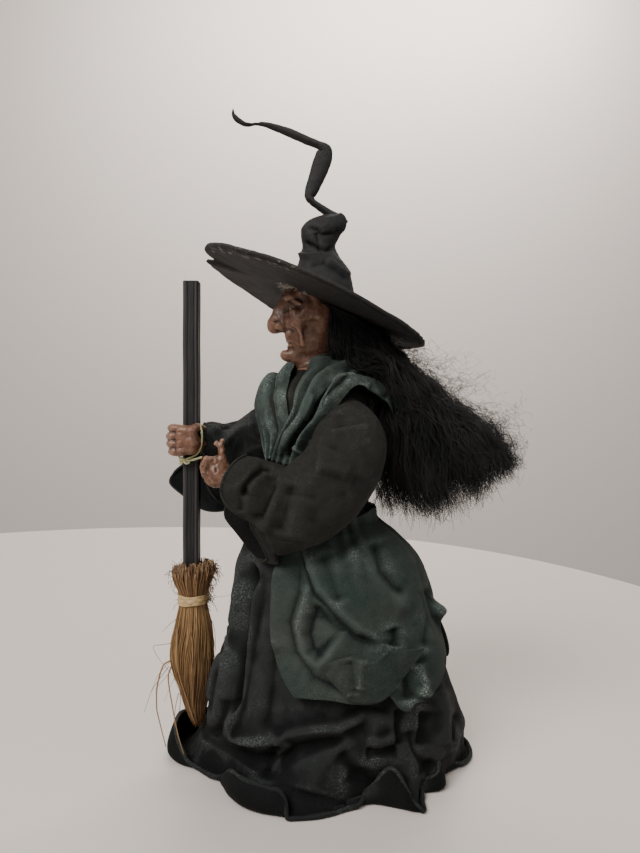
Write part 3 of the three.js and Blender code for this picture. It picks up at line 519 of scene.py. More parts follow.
# The hem all round: angle from +X in degrees, reach on the table, height of the rolled rim.
HEM = (
    (2, 93, 1), (14, 88, 9), (28, 82, 1), (45, 82, 11), (60, 77, 1), (76, 76, 1), (92, 73, 9),
    (108, 77, 12), (124, 75, 1), (138, 79, 5), (150, 82, 8), (164, 90, 15), (176, 95, 19), (186, 94, 15),
    (192, 88, 6), (200, 76, 1.5), (208, 71, 1), (214, 70, 3), (224, 74, 11), (236, 78, 13), (248, 78, 12),
    (254, 77, 10), (257.5, 76.5, 1), (272, 72, 1), (287, 67, 1), (296, 70, 9), (303, 80, 18),
    (307, 87, 3), (314, 79, 1), (319, 77, 5), (324, 84, 8), (334, 80, 16), (345, 86, 2), (354, 92, 1),
)

# Folds on the camera's side in seen millimetres: line, height, width to its left and to its right.
SKIRT_FOLDS = (
    (((-48, 130), (-50, 92), (-54, 66), (-60, 33), (-63, 12)), 3.8, 3.0, 3.0),
    (((-43, 122), (-44, 100), (-46, 76), (-50, 45), (-54, 17)), -11.0, 3.6, 2.0),
    (((-36, 110), (-38, 92), (-42, 72), (-48, 44), (-53, 17), (-56, 4)), 6.0, 1.5, 12.0),
    (((-58, 60), (-64, 50), (-70, 30)), 3.0, 3.0, 4.0),
    (((-55, 34), (-58, 22), (-66, 8)), -4.5, 3.0, 3.0),
    (((-27, 80), (-31, 34), (-35, 8)), -3.0, 5.0, 8.0),
    (((-60, 8), (-42, 4), (-26, 4), (-19, 9), (-4, 12), (12, 13), (24, 19), (30, 26)), 4.6, 3.0, 1.6),
    (((-57, 1), (-40, -4), (-26, -5), (-16, 2), (0, 5), (18, 7)), -5.5, 2.6, 8.0),
    (((-24, 5), (-31, -4), (-33, -12), (-34, -20)), -5.0, 3.0, 6.0),
    (((-18, 5), (-26, -6), (-29, -16)), 3.5, 2.0, 9.0),
    (((28, 6), (38, 6), (49, 9)), 3.4, 2.0, 3.0),
    (((28, 1), (38, 0), (49, 2)), -3.6, 2.0, 5.0),
    (((48, 27), (48, 2)), -3.5, 5.0, 1.4),
    (((64, 26), (64, 2)), -3.6, 5.0, 1.6),
    (((84, 24), (84, 4)), -2.5, 2.0, 2.0),
    (((36, 26), (33, 8), (36, -14)), 2.4, 8.0, 6.0),
    (((-6, -2), (-2, -12), (-6, -28)), 2.6, 10.0, 10.0),
    (((12, 0), (22, -14), (38, -26)), -4.5, 6.0, 7.0),
    (((74, 40), (77, 24), (78, 2)), 3.0, 5.0, 5.0),
    (((56, 14), (60, 0), (70, -14)), -4.0, 5.0, 5.0),
)


# The wall runs from the waist down to where the hem begins to turn out. The hem's outer face lies at
# least HEM_REST over the table, which leaves room for its thickness.
SKIRT_TOP, WALL_FOOT, HEM_REST = 152, 14, 1.25


def skirt():
    cols, wall_rows, hem_rows, curl_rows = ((520, 120, 30, 18))
    angle = around(cols)[0]
    turn = np.degrees(angle)
    reach = loop_curve([(a, r) for a, r, _ in HEM], turn)
    rim = np.maximum(loop_curve([(a, h) for a, _, h in HEM], turn), 0.8)

    z = np.linspace(SKIRT_TOP, WALL_FOOT, wall_rows)[:, None] + 0 * angle
    a = angle + 0 * z
    sway = 0.30 * (reach - 80) * np.exp(-(z - WALL_FOOT) / 26)
    far = 0.5 + 0.5 * np.sin(a)
    folds = 2.6 * np.sin(11 * a + 1.6 * np.sin(2 * a) + z / 45) + 1.8 * np.sin(17 * a + z / 60 + 2)
    folds = folds * smooth(150, 95, z) * (0.25 + 0.75 * smooth(0.35, 0.7, far))
    r = skirt_wall(a, z) + sway + folds
    wall = np.stack([skirt_middle(z) + r * np.cos(a), r * np.sin(a), z], axis=-1)

    out = np.stack([np.cos(angle), np.sin(angle), 0 * angle], axis=-1)
    foot = wall[-1]
    ground = out * (reach - 4)[:, None] + [0, 0, 1.4]
    down = foot + 0.25 * (ground - foot) * [1, 1, 0] - [0, 0, 8.5]
    inner = ground - 0.45 * (ground - foot) * [1, 1, 0]
    t = np.linspace(0, 1, hem_rows + 1)[1:, None, None]
    hem = (1 - t) ** 3 * foot + 3 * t * (1 - t) ** 2 * down + 3 * t * t * (1 - t) * inner + t ** 3 * ground
    lift = smooth(1, 6, rim)[:, None]
    rise = (rim - 0.8)[:, None]
    end = ground + out * (4.2 * (1 - lift) - 0.10 * rim[:, None] * lift) + [0, 0, 1] * rise
    side = ground + out * (2 + 2.2 * lift) + [0, 0, 0.18] * rise
    t = np.linspace(0, 1, curl_rows + 1)[1:, None, None]
    curl = (1 - t) ** 2 * ground + 2 * t * (1 - t) * side + t * t * end
    p = np.concatenate([wall, hem, curl])

    n = -grid_normals(p, True)
    q, near = seen(p), facing(p, n)
    rows = p.shape[0]
    from_rim = np.arange(rows)[::-1][:, None] + 0 * angle
    shift = strokes(q, SKIRT_FOLDS) * near
    shift *= smooth(0, curl_rows + 12, from_rim) ** 0.5
    fade = smooth(0, 14, from_rim)
    shift += wrinkles(p, (0.9, 30), (0.3, 13), (0.12, 5.5), apart=40) * (0.25 + 0.75 * fade)
    p = p + n * shift[..., None]
    p[..., 2] = np.maximum(p[..., 2], HEM_REST)

    # The hem is turned and stitched, so its edge is a thicker roll.
    edge = p[-1] + [0, 0, 0.2]
    edge[:, 2] = np.maximum(edge[:, 2], 1.5)
    rolled = ring_tube(edge, 1.25 + 0.15 * np.sin(23 * angle), 8)
    obj = cloth("dress_skirt_cloth", [(p[:, ::-1], True), (rolled, True)], BLACK_CLOTH, 1.1)
    finish_piece(obj, "figure", "black_cloth", "dress_skirt")


# ------------------------------------------------------------------ overskirt

# Its lower edge: angle from +X in degrees (running on past 360), and height. The camera's side is
# given as seen, and the rest as real heights.
APRON_EDGE_SEEN = ((250, 33), (258, 32), (268, 31), (278, 29), (290, 30), (296, 34), (300, 27), (304, 25),
                   (309, 30), (314, 31), (322, 38), (330, 46), (338, 58), (346, 76), (351, 84))
APRON_EDGE = ((351, 86), (358, 78), (366, 60), (385, 52), (405, 62), (425, 54), (445, 70), (474, 96))

APRON_FOLDS = (
    (((-30, 118), (-28, 96), (-29, 76), (-27, 60)), 1.8, 6.0, 7.0),
    (((-17, 124), (-16, 98), (-20, 80), (-16, 61), (-4, 45), (13, 37), (19, 32)), -2.8, 4.5, 4.0),
    (((-8, 108), (-11, 91), (-14.5, 74), (-10, 58), (1, 49.5)), 1.8, 3.5, 4.5),
    (((2, 91), (-6, 81), (-8, 72), (-5, 63), (4, 56)), -6.0, 14.0, 5.0),
    (((-14, 130), (-11.5, 114), (-4, 98), (8, 85), (23, 71), (40, 65)), -4.8, 2.2, 11.0),
    (((1, 124), (8, 104), (13, 91)), -1.8, 5.0, 5.0),
    (((17, 129), (29, 116), (36, 106), (46, 96), (58, 87)), 2.2, 7.0, 9.0),
    (((33, 132), (38, 112), (46, 102), (54, 97)), -2.2, 5.0, 4.0),
    (((46, 77), (48, 70), (47, 64)), -2.6, 3.0, 4.0),
    (((66, 104), (69, 84), (66, 62)), -2.4, 4.0, 4.0),
    (((47, 62), (55, 48), (57, 30)), -4.0, 4.0, 5.0),
    (((60, 56), (65, 42), (65, 32)), 3.0, 4.0, 4.0),
)


# Where its front edge is and how far it runs round, in degrees, and the height of its gathered top.
APRON_START, APRON_SWEEP, APRON_TOP = 231, 241, 150


def apron_reach(turn, z):
    """How far the plain overskirt stands from the skirt's middle."""
    angle = np.radians(turn)
    gather = 2.2 + 8.0 * smooth(150, 122, z) - 3.0 * smooth(85, 55, z)
    ends = smooth(228, 262, turn) * smooth(478, 440, turn)
    right = 5.0 * smooth(322, 345, turn) * smooth(400, 372, turn) * smooth(60, 90, z)
    return skirt_wall(angle, z) + 1.8 + gather * (0.35 + 0.65 * ends) - right


def place(turn, reach, z):
    """Points at an angle and a reach from the skirt's middle."""
    angle = np.radians(turn)
    return np.stack([skirt_middle(z) + reach * np.cos(angle), reach * np.sin(angle), z + 0 * turn], axis=-1)


def apron_low(turn):
    """The lower edge's height. Where it is given as seen, its depth is taken at a typical height."""
    as_seen = curve(APRON_EDGE_SEEN, turn)
    typical = 62
    depth = CAMERA_BACK + apron_reach(turn, typical + 0 * turn) * np.sin(np.radians(turn))
    near = CAMERA_UP + (as_seen - CAMERA_UP) * depth / CAMERA_BACK
    return np.where(turn < APRON_EDGE[0][0], near, curve(APRON_EDGE, turn))


# The turned-up part of the lower edge, as seen: its fold line and its free edge.
FLAP_LOW = ((18, 30.5), (22, 29.5), (27, 29), (33, 29.3), (40, 31.5), (48, 39), (56, 50), (64.5, 61))
FLAP_HIGH = ((0, 51), (4, 53.5), (12, 56.5), (20, 58.5), (30, 60), (40, 61.5), (53, 62.5), (65, 62.5))
FLAP_FOLDS = (
    (((19, 57), (21, 46), (22, 34)), -1.5, 2.2, 5.0),
    (((26, 58), (25, 46), (24, 36)), 1.2, 4, 4),
    (((4, 50), (11, 42), (20, 32)), 1.0, 4.0, 5.0),
    (((40, 60), (48, 50), (50, 40)), -0.8, 5, 5),
)


def on_apron(q, away):
    """Where the sight line to each seen point meets a surface standing `away` mm off the overskirt."""
    y = np.full(q.shape[:2], -55.0)  # a first guess, which the steps below bring to the surface
    for _ in range(40):
        x, _, z = np.moveaxis(unseen(q[..., 0], q[..., 1], y), -1, 0)
        dx = x - skirt_middle(z)
        turn = np.degrees(np.arctan2(y, dx)) % 360
        y = y + 0.5 * (np.hypot(dx, y) - apron_reach(turn, z) - away)
    return unseen(q[..., 0], q[..., 1], y)


def apron():
    cols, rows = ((440, 150))
    t = np.linspace(0, 1, cols)[None, :]
    s = np.linspace(0, 1, rows)[:, None]
    slant = 19 * (1 - s) ** 4.0 * (1 - smooth(0, 0.3, t))
    turn = APRON_START + APRON_SWEEP * t + slant + 0 * s
    low = apron_low(turn)
    z = low + (APRON_TOP + 4 * smooth(300, 320, turn) - low) * s
    back = smooth(320, 380, turn) * smooth(474, 430, turn)
    angle = np.radians(turn)
    swags = 2.6 * np.sin(angle * 7 + z / 14) * smooth(0, 0.25, s) * smooth(1, 0.6, s)
    pleats = 1.2 * np.sin(angle * 23 + 2 * np.sin(angle * 5)) * smooth(0.45, 1, s) * (0.5 + 0.5 * back)
    reach = apron_reach(turn, z) + back * swags + pleats
    reach += 7 * np.exp(-((turn - 350) / 5) ** 2 - ((z - 91) / 5) ** 2)
    p = place(turn, reach, z)
    n = grid_normals(p, False)
    q, near = seen(p), facing(p, n)
    shift = np.maximum(strokes(q, APRON_FOLDS) * near, -8)
    from_side = np.minimum(np.arange(cols), cols - 1 - np.arange(cols))
    inward = smooth(0, 6, from_side)[None, :] * smooth(0, 8, np.arange(rows))[:, None]
    shift += wrinkles(p, (0.4, 24), (0.16, 11), (0.08, 5)) * (0.35 + 0.65 * inward)
    body = p + n * shift[..., None]

    # The lower edge is turned up over the near hip, and its corner stands away.
    cols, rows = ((200, 60))
    t, s = np.linspace(0, 1, cols)[None, :], np.linspace(0, 1, rows)[:, None]
    low = spline(FLAP_LOW, cols)[None]
    high = spline(FLAP_HIGH, cols)[None]
    q = low * (1 - s[..., None]) + high * s[..., None]
    away = 2.0 + 6.0 * np.sin(0.5 * np.pi * s) * smooth(0, 0.25, t)
    away = away + 3.5 * s * smooth(0.7, 1, t) - 0.8 * (1 - s) ** 4
    p = on_apron(q, away)
    n = grid_normals(p, False)
    shift = strokes(q, FLAP_FOLDS) + wrinkles(p, (0.4, 17), (0.2, 8), (0.1, 4))
    p = p + n * shift[..., None]
    obj = cloth("apron_cloth", [(body, False), (p, False)], GREEN_CLOTH, 1.0)
    finish_piece(obj, "figure", "green_cloth", "apron")


# ------------------------------------------------------------------ sleeves

def tube_grid(stations, reference, rows, cols):
    """A sleeve. Stations are x, y, z, half height, half depth; angle 90 degrees faces the camera."""
    c = spline(stations, rows)
    middle, high, deep = c[:, :3], c[:, 3], c[:, 4]
    along = np.gradient(middle, axis=0)
    along /= np.linalg.norm(along, axis=1)[:, None]
    side = np.cross(along, reference)
    side /= np.linalg.norm(side, axis=1)[:, None]
    front = np.cross(side, along)
    a = around(cols)[0]
    p = (middle[:, None] + side[:, None] * (high[:, None] * np.cos(a))[..., None]
         + front[:, None] * (deep[:, None] * np.sin(a))[..., None])
    return p, a


# The cuffs' mouths: angle from the top towards the camera, then X and Z as seen, then depth.
LEFT_MOUTH = (
    (0, -46, 184, -34), (22, -52, 181, -42), (45, -58, 174, -46), (66, -61.5, 165, -48),
    (88, -60.5, 157, -48), (106, -56.5, 151, -49), (124, -50, 146.5, -49), (140, -43.5, 142.5, -48),
    (154, -41.5, 137, -46), (168, -36.5, 128.5, -43), (180, -33, 120.5, -40), (194, -36, 118.5, -34),
    (208, -43, 125, -28), (224, -50.5, 134.5, -24), (240, -58.5, 144.8, -23), (252, -59, 150, -21),
    (272, -56, 158, -20), (305, -53, 170, -22), (335, -49, 181, -26),
)
RIGHT_MOUTH = (
    (0, -72, 204, 6), (28, -72.3, 199, -7), (55, -72.3, 190, -10), (85, -72.5, 179, -9),
    (110, -71, 167, -5), (135, -65, 157, 1), (158, -58, 152, 9), (178, -62, 149.5, 17),
    (198, -73, 150.5, 23), (215, -83, 157.5, 26), (232, -93, 166, 27), (252, -91, 173, 28),
    (282, -82, 181, 27), (318, -75, 192, 22), (340, -73, 201, 15),
)


def to_mouth(p, a, s, mouth, start):
    """Draws a sleeve's end on to the outline of its mouth."""
    x, z, y = (loop_curve([(m[0], m[k]) for m in mouth], np.degrees(a)) for k in (1, 2, 3))
    return p + (unseen(x, z, y) - p[-1])[None] * (smooth(start, 1, s) ** 0.9)[..., None]


LEFT_SLEEVE = (
    (8, -22, 214, 9, 9), (14, -30, 207, 14, 13), (16, -38, 198, 20, 17), (15, -44, 187, 22, 19),
    (8, -48, 174.5, 22.5, 19), (-1, -49, 164.5, 23.5, 19), (-11, -48, 158, 23, 18),
    (-21, -44, 156, 23.5, 16), (-31, -39, 157, 24.5, 14), (-40, -35, 158, 25, 13), (-47, -32, 160, 24, 12),
)

LEFT_SLEEVE_FOLDS = (
    (((5, 200), (22, 202), (33, 204)), 0.7, 0.8, 2.4),
    (((-2, 174), (10, 171), (21, 167), (25, 173)), -0.8, 3.0, 6.0),
    (((-4, 179), (8, 176), (20, 172)), 1.2, 6.0, 4.0),
    (((-29, 176), (-36, 177), (-42, 172), (-47, 166), (-49, 157)), -3.4, 3.0, 1.6),
    (((-27, 172), (-34, 173), (-40, 168), (-44, 159)), 2.2, 3.0, 2.4),
    (((-29, 176), (-31, 164), (-37, 149), (-41, 140)), -5.5, 3.4, 6.0),
    (((-25, 175), (-25, 165), (-30, 150), (-34, 134)), 2.4, 2.4, 7.0),
    (((-19, 168), (-21, 152), (-26, 134)), -2.0, 5.0, 7.0),
    (((-12, 160), (-15, 146), (-18, 130)), 2.0, 10.0, 9.0),
    (((-8, 140), (-2, 150), (8, 158), (20, 160)), -1.2, 8.0, 7.0),
    (((10, 212), (12, 198), (6, 186)), -1.0, 8.0, 6.0),
    (((-46, 166), (-50, 158), (-50, 148)), -1.4, 2.4, 3.0),
)


def left_sleeve():
    rows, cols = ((230, 200))
    p, a = tube_grid(LEFT_SLEEVE, np.array([0, -1, 0.25]) / 1.031, rows, cols)
    s = np.linspace(0, 1, rows)[:, None] + 0 * a
    p = to_mouth(p, a, s, LEFT_MOUTH, 0.62)
    p = outward(p)
    n = grid_normals(p, True)
    q, near = seen(p), facing(p, n)
    shift = strokes(q, LEFT_SLEEVE_FOLDS) * near
    shift += wrinkles(p, (0.5, 26), (0.4, 12), (0.16, 5)) * (1 - 0.5 * smooth(0.9, 1, s))
    p = p + n * shift[..., None]
    rolled = ring_tube(p[-1], 0.9 + 0 * p[-1][:, 0], 7)
    # Painted shade inside the cuff: the far wall of its mouth, turned from the camera, is darkened.
    mouth_shade = (1 - near) * smooth(0.66, 0.8, s)
    obj = cloth("left_sleeve_cloth", [(p, True), (rolled, True)], SLEEVE_CLOTH, 1.0, shade=2 * mouth_shade)
    finish_piece(obj, "figure", "black_cloth", "left_sleeve")


RIGHT_SLEEVE = (
    (-12, 20, 214, 9, 9), (-24, 29, 209, 13, 12), (-35, 31, 201, 16, 14), (-45, 27, 192, 20, 16),
    (-52, 20, 185, 22, 18), (-58, 13, 179, 24, 19), (-63, 9, 174, 25, 19),
)
RIGHT_SLEEVE_FOLDS = (
    (((-46, 216), (-54, 206), (-62, 200)), -2.5, 3, 3),
    (((-40, 204), (-52, 200), (-62, 190)), 1.8, 3, 3),
)
# The cuff passes behind the stick: beyond this X it keeps this far back from the stick's middle.
CUFF_PAST, CUFF_CLEAR = -72.6, 7.0


def right_sleeve():
    rows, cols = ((170, 150))
    p, a = tube_grid(RIGHT_SLEEVE, np.array([0, -1, 0.0]), rows, cols)
    s = np.linspace(0, 1, rows)[:, None] + 0 * a
    p = to_mouth(p, a, s, RIGHT_MOUTH, 0.5)
    p = outward(p)
    n = grid_normals(p, True)
    q, near = seen(p), facing(p, n)
    peak = np.exp(-((q[..., 0] + 60) / 3.5) ** 2 - ((q[..., 1] - 212) / 4) ** 2)
    shift = 4.0 * peak + wrinkles(p, (0.9, 20), (0.5, 9), (0.15, 5)) + strokes(q, RIGHT_SLEEVE_FOLDS)
    p = p + n * (shift * smooth(1.0, 0.85, s))[..., None]
    keep = STICK_AT[1] + CUFF_CLEAR
    p[..., 1] = np.where((p[..., 0] < CUFF_PAST) & (p[..., 1] < keep), keep, p[..., 1])
    rolled = ring_tube(p[-1], 0.8 + 0 * p[-1][:, 0], 7)
    obj = cloth("right_sleeve_cloth", [(p, True), (rolled, True)], BLACK_CLOTH, 1.0,
                shade=1.5 * (1 - near) * smooth(0.5, 0.8, s))
    finish_piece(obj, "figure", "black_cloth", "right_sleeve")


# ------------------------------------------------------------------ shawl and bodice

# Stations along the shawl, from the gather at the waist up the left side, round the neck and down
# again: inner edge, outer edge, and how far the middle stands out.
SHAWL = (
    ((-26.8, -18, 182), (-9, -29, 178), 1.0), ((-24, -21, 190.6), (-7, -33, 187), 2.5),
    ((-20.7, -24, 198.2), (-3, -38, 195), 4), ((-17.8, -27, 204.8), (6, -41, 205), 5),
    ((-14.8, -29, 211.9), (12, -42, 216), 6), ((-13.0, -27, 218.5), (21, -41, 225), 7),
    ((-11, -22, 227), (31, -37, 222), 9), ((-7.4, -16.5, 234), (41, -28, 215), 12),
    ((-3.5, -13.5, 243), (45, -15, 207), 14), ((9, -8, 243.5), (42, 8, 202), 13),
    ((12, 9, 242), (32, 30, 206), 10), ((3, 15, 242), (10, 42, 211), 9),
    ((-8, 14, 241), (-14, 41, 216), 8), ((-13, 6, 241), (-33, 31, 219), 7),
    ((-14, -6, 240), (-40, 14, 221), 6), ((-17.5, -15, 233), (-41.5, 6, 214), 5),
    ((-18, -25, 215), (-38.5, 0, 203), 4), ((-17, -26, 201), (-35.5, -6, 190), 2),
    ((-25, -21, 185), (-32, -12, 180), 0.6),
)
SHAWL_FOLDS = (
    (((32, 238), (24, 237), (14, 234), (5, 229)), 1.2, 1.2, 3.0),
    (((4, 226), (-4, 216), (-10, 205)), 0.8, 1.5, 2.5),
    (((20, 240), (14, 230), (3, 220), (-4, 211)), -1.6, 2.2, 3.0),
    (((30, 228), (36, 223), (43, 220)), -1.4, 2.0, 2.0),
    (((-20, 201), (-22, 192), (-20, 184)), 1.2, 1.6, 1.6),
    (((-18, 190), (-12, 185), (-9, 179)), 1.5, 1.6, 1.6),
    (((-3, 224), (-11, 208), (-18, 199), (-24, 188), (-25, 183)), 1.8, 2.0, 3.0),
)


def bump_at(w, middle, width, height):
    """A ridge (or, with a negative height, a trough) across the shawl at `middle` of its width."""
    return height * np.exp(-((w - middle) / width) ** 2)


def shawl_relief(w, s):
    """Folds that run along the shawl: w goes across it, s along it."""
    lapel = (bump_at(w, 0.06, 0.06, 1.8) + bump_at(w, 0.18, 0.06, -1.2)
             + bump_at(w, 0.36, 0.09, 3.2)) * smooth(0.02, 0.10, s)
    valley = bump_at(w, 0.52 + 0.1 * smooth(0.1, 0.3, s), 0.09, -5.0)
    valley = valley * (smooth(0.0, 0.06, s) * smooth(0.42, 0.28, s))
    strip = bump_at(w, 0.78, 0.13, 4.6) * smooth(0.42, 0.25, s)
    far_fold = (bump_at(w, 0.12, 0.09, 1.8) + bump_at(w, 0.38, 0.07, -5.0)
                + bump_at(w, 0.62, 0.16, 2.0)) * smooth(0.70, 0.78, s)
    back = 1.4 * np.sin(TAU * (2.2 * w + 0.8 * np.sin(6 * s)))
    back = back * smooth(0.34, 0.44, s) * smooth(0.74, 0.62, s)
    gather = 0.8 * np.sin(TAU * 4.5 * w + 1) * (smooth(0.10, 0.0, s) + smooth(0.88, 0.98, s))
    return (lapel + valley + strip) * smooth(0.46, 0.36, s) + far_fold + back + gather


def shawl():
    rows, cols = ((420, 110))
    flat = [(*a, *b, bulge) for a, b, bulge in SHAWL]
    c = spline(flat, rows)
    inner, outer, bulge = c[:, :3], c[:, 3:6], c[:, 6]
    w = np.linspace(0, 1, cols)[None, :]
    along = np.gradient(0.5 * (inner + outer), axis=0)
    lift = np.cross(along, outer - inner)
    lift /= np.linalg.norm(lift, axis=1)[:, None]
    centre = np.array([0, 0, 205])
    lift *= np.sign(np.sum(lift * (0.5 * (inner + outer) - centre), axis=1))[:, None]
    p = inner[:, None] * (1 - w[..., None]) + outer[:, None] * w[..., None]
    s = np.linspace(0, 1, rows)[:, None]
    n = lift[:, None] + 0 * p
    p = p + n * (bulge[:, None] * np.sin(np.pi * w) ** 0.7)[..., None]
    # It always lies outside the bodice, and where its two fronts cross the near one lies on top.
    dx = p[..., 0] - bodice_middle(p[..., 2])
    r, a = np.hypot(dx, p[..., 1]), np.arctan2(p[..., 1], dx)
    clear = bodice_reach(a, p[..., 2]) + 2.0 + 2.4 * smooth(0.5, 0.4, s)
    r = clear + np.logaddexp(0, (r - clear) / 1.2) * 1.2
    p[..., 0], p[..., 1] = bodice_middle(p[..., 2]) + r * np.cos(a), r * np.sin(a)
    p = p + n * shawl_relief(w, s)[..., None]
    p = face_out(p, False, n)
    n = grid_normals(p, False)
    shift = strokes(seen(p), SHAWL_FOLDS) * facing(p, n)
    shift += wrinkles(p, (0.35, 17), (0.25, 8), (0.12, 3.6))
    p = p + n * shift[..., None]
    obj = cloth("shawl_cloth", [(p, False)], SHAWL_CLOTH, 0.9, rub_scale=0.35)
    finish_piece(obj, "figure", "green_cloth", "shawl")


# Half sizes of the bodice through the chest and across it, each by height, from waist to throat.
CHEST_DEEP = ((142, 26.5), (165, 27), (190, 28), (212, 27.5), (221, 26.5), (229, 20), (236, 15.2),
              (246, 12))
CHEST_WIDE = ((142, 29.5), (165, 32), (190, 35), (212, 36), (222, 35), (229, 25), (236, 15.2), (246, 12))
CHEST_TURN = math.radians(225)


def bodice_reach(a, z):
    """The bodice's reach from its middle: an oval, turned to where the chest faces."""
    deep, wide = curve(CHEST_DEEP, z), curve(CHEST_WIDE, z)
    return deep * wide / np.hypot(wide * np.cos(a - CHEST_TURN), deep * np.sin(a - CHEST_TURN)) + 1.0


def bodice_middle(z):
    return curve([(142, 0), (190, -2), (222, -3), (236, 0)], z)


def bodice():
    rows, cols = 120, 200
    z = np.linspace(CHEST_DEEP[0][0], 236.4, rows)[:, None]
    a = around(cols)
    r = bodice_reach(a, z)
    p = np.stack([bodice_middle(z) + r * np.cos(a), r * np.sin(a), z + 0 * a], axis=-1)
    p = face_out(p, True, p * [1, 1, 0])
    n = grid_normals(p, True)
    shift = 0.7 * np.sin(13 * a + z / 9) * smooth(242, 225, z)
    shift += wrinkles(p, (0.5, 14), (0.25, 6), apart=5)
    p = p + n * shift[..., None]
    obj = cloth("dress_bodice_cloth", [(p, True)], SLEEVE_CLOTH, 0.9)
    finish_piece(obj, "figure", "black_cloth", "dress_bodice")


# ------------------------------------------------------------------ hat

BRIM_AT = np.array([-3.0, 0.0, 281.0])
BRIM_TILT = math.radians(23)


def on_brim(across, deep, up):
    """A point in the brim's own plane: across runs down to the back, deep runs away from the camera."""
    c, s = math.cos(BRIM_TILT), math.sin(BRIM_TILT)
    x, z = BRIM_AT[0] + across * c + up * s, BRIM_AT[2] - across * s + up * c
    return np.stack([x, BRIM_AT[1] + deep, z], axis=-1)


def brim_droop(deep_share):
    """How far the brim hangs at a share of its radius: little on the camera's side, more beyond."""
    return np.where(deep_share < 0, -1.2, -8.5) * deep_share ** 2


BRIM_HOLE, BRIM_RADIUS = 13, 74


def hat_brim():
    rows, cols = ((70, 420))
    a = around(cols)
    turn = np.degrees(a)
    ring = np.stack([np.cos(a) * 3, np.sin(a) * 3, 0 * a], axis=-1)
    far = np.exp(-((turn - 130) / 48) ** 2)
    ragged = far * (2.6 * np.abs(noise(ring * 5)) + 1.6 * np.abs(noise(ring * 12))) + 0.2 * noise(ring * 9)
    notch = 6.5 * np.exp(-((turn - 180) / 1.8) ** 2) + 2.2 * np.exp(-((turn - 171) / 1.6) ** 2)
    scallop = 0.8 * np.abs(np.sin(turn * 0.5)) * np.exp(-((turn - 350) / 28) ** 2)
    outer = 73.4 - ragged - notch - scallop
    t = np.linspace(0, 1, rows)[:, None]
    r = BRIM_HOLE + (outer - BRIM_HOLE) * t
    across, deep = r * np.cos(a), r * np.sin(a)
    reach = r / BRIM_RADIUS
    side = np.sin(a)
    up = brim_droop(reach * side)
    up = up + 1.6 * np.sin(3 * a + 0.6) * smooth(0.4, 1, reach) * np.where(side < 0, 0.4, 1)
    front = smooth(0.55, 1.0, reach) * smooth(-0.5, -1, np.cos(a))
    up += front * (1.6 * smooth(0.03, -0.08, side) - 2.2 * smooth(-0.03, 0.08, side))
    up += 0.7 * smooth(0.95, 1.0, reach)
    up += 3.2 * np.exp(-((across + 17) / 12) ** 2 - (deep / 17) ** 2)
    p = on_brim(across, deep, up)
    p = face_out(p, True, np.array([0, 0, 1.0]))
    n = grid_normals(p, True)
    p = p + n * wrinkles(p, (0.5, 26), (0.25, 10), (0.1, 4))[..., None]
    # Painted shade darkens the whole brim, and a painted highlight lightens its outer rim.
    shade = 0.4 - 0.9 * smooth(0.975, 1.0, t) + 0 * a
    obj = cloth("hat_brim_cloth", [(p, True)], HAT_CLOTH, 1.7, shade=shade)
    # Paint flecks lie on the rim's front quarter, on the camera's side.
    reach = np.hypot(*np.moveaxis((p - BRIM_AT)[..., :2], -1, 0)) / 71
    mark = smooth(0.78, 0.92, reach) * smooth(0, -26, p[..., 0]) * smooth(0, -18, p[..., 1])
    point_values(obj.data, "flecks", mark)
    finish_piece(obj, "head_and_hat", "black_cloth", "hat_brim")


# x, y, z, half width across, half depth. It leans back, nips in, then swells into a slumped puff.
CROWN = (
    (1.5, 0, 280.5, 21.8, 20.6), (2.0, 0, 285, 20.9, 20.0), (2.5, 0, 291, 19, 18.5),
    (1.8, 0, 300, 16.4, 16), (0.0, 0, 308, 12.4, 12.5), (-1.2, 0, 314.5, 10.2, 10.5),
    (-0.4, 0, 320, 12.0, 11), (1.6, 0, 325, 13.6, 10.5), (4.5, 0, 329.5, 12.0, 8.5),
    (8.2, 0, 332.5, 7.5, 6), (10.0, 0, 334.0, 4.0, 4),
)
CROWN_FOLDS = (
    (((-10, 317), (-3, 315), (4, 313), (9, 315)), -2.6, 1.2, 2.4),
    (((-9, 327), (-2, 325), (1, 322), (9, 322), (14, 326)), -1.6, 1.5, 2.2),
    (((-3, 324), (-1, 316), (0, 309)), -1.6, 1.6, 1.6),
    (((4, 307), (12, 301), (20, 296)), 1.3, 1.6, 2.6),
    (((-8, 302), (2, 304), (10, 300), (18, 293)), -1.2, 2.0, 2.5),
    (((-14, 310), (-6, 309), (2, 311)), 2.2, 1.0, 2.2),
)

# The folded strip above the crown: X and Z, half width as seen, half depth.
TIP = (
    (15.4, 328.0, 3.0, 4.0), (12.2, 331.2, 3.4, 4.5), (7.6, 334.4, 2.6, 4.5), (1.2, 338.6, 2.3, 4.3),
    (-4.2, 342.6, 2.2, 4.3), (-6.6, 345.6, 3.0, 4.0), (-5.2, 350.0, 4.2, 3.0), (-2.4, 356.5, 4.9, 2.6),
    (0.6, 364.5, 5.6, 2.4), (2.6, 370.5, 5.4, 2.6), (3.0, 374.0, 3.8, 3.4), (-1.0, 376.6, 2.4, 4.0),
    (-8.5, 379.8, 2.5, 3.8), (-18.0, 384.4, 2.6, 3.4), (-27.0, 388.2, 2.1, 3.0),
    (-34.5, 390.8, 1.5, 2.4), (-40.0, 391.2, 0.8, 1.6), (-46.2, 391.0, 1.2, 2.4),
    (-51.4, 393.6, 1.7, 2.2), (-54.0, 396.6, 1.2, 1.6), (-54.2, 400.0, 0.3, 0.6),
)


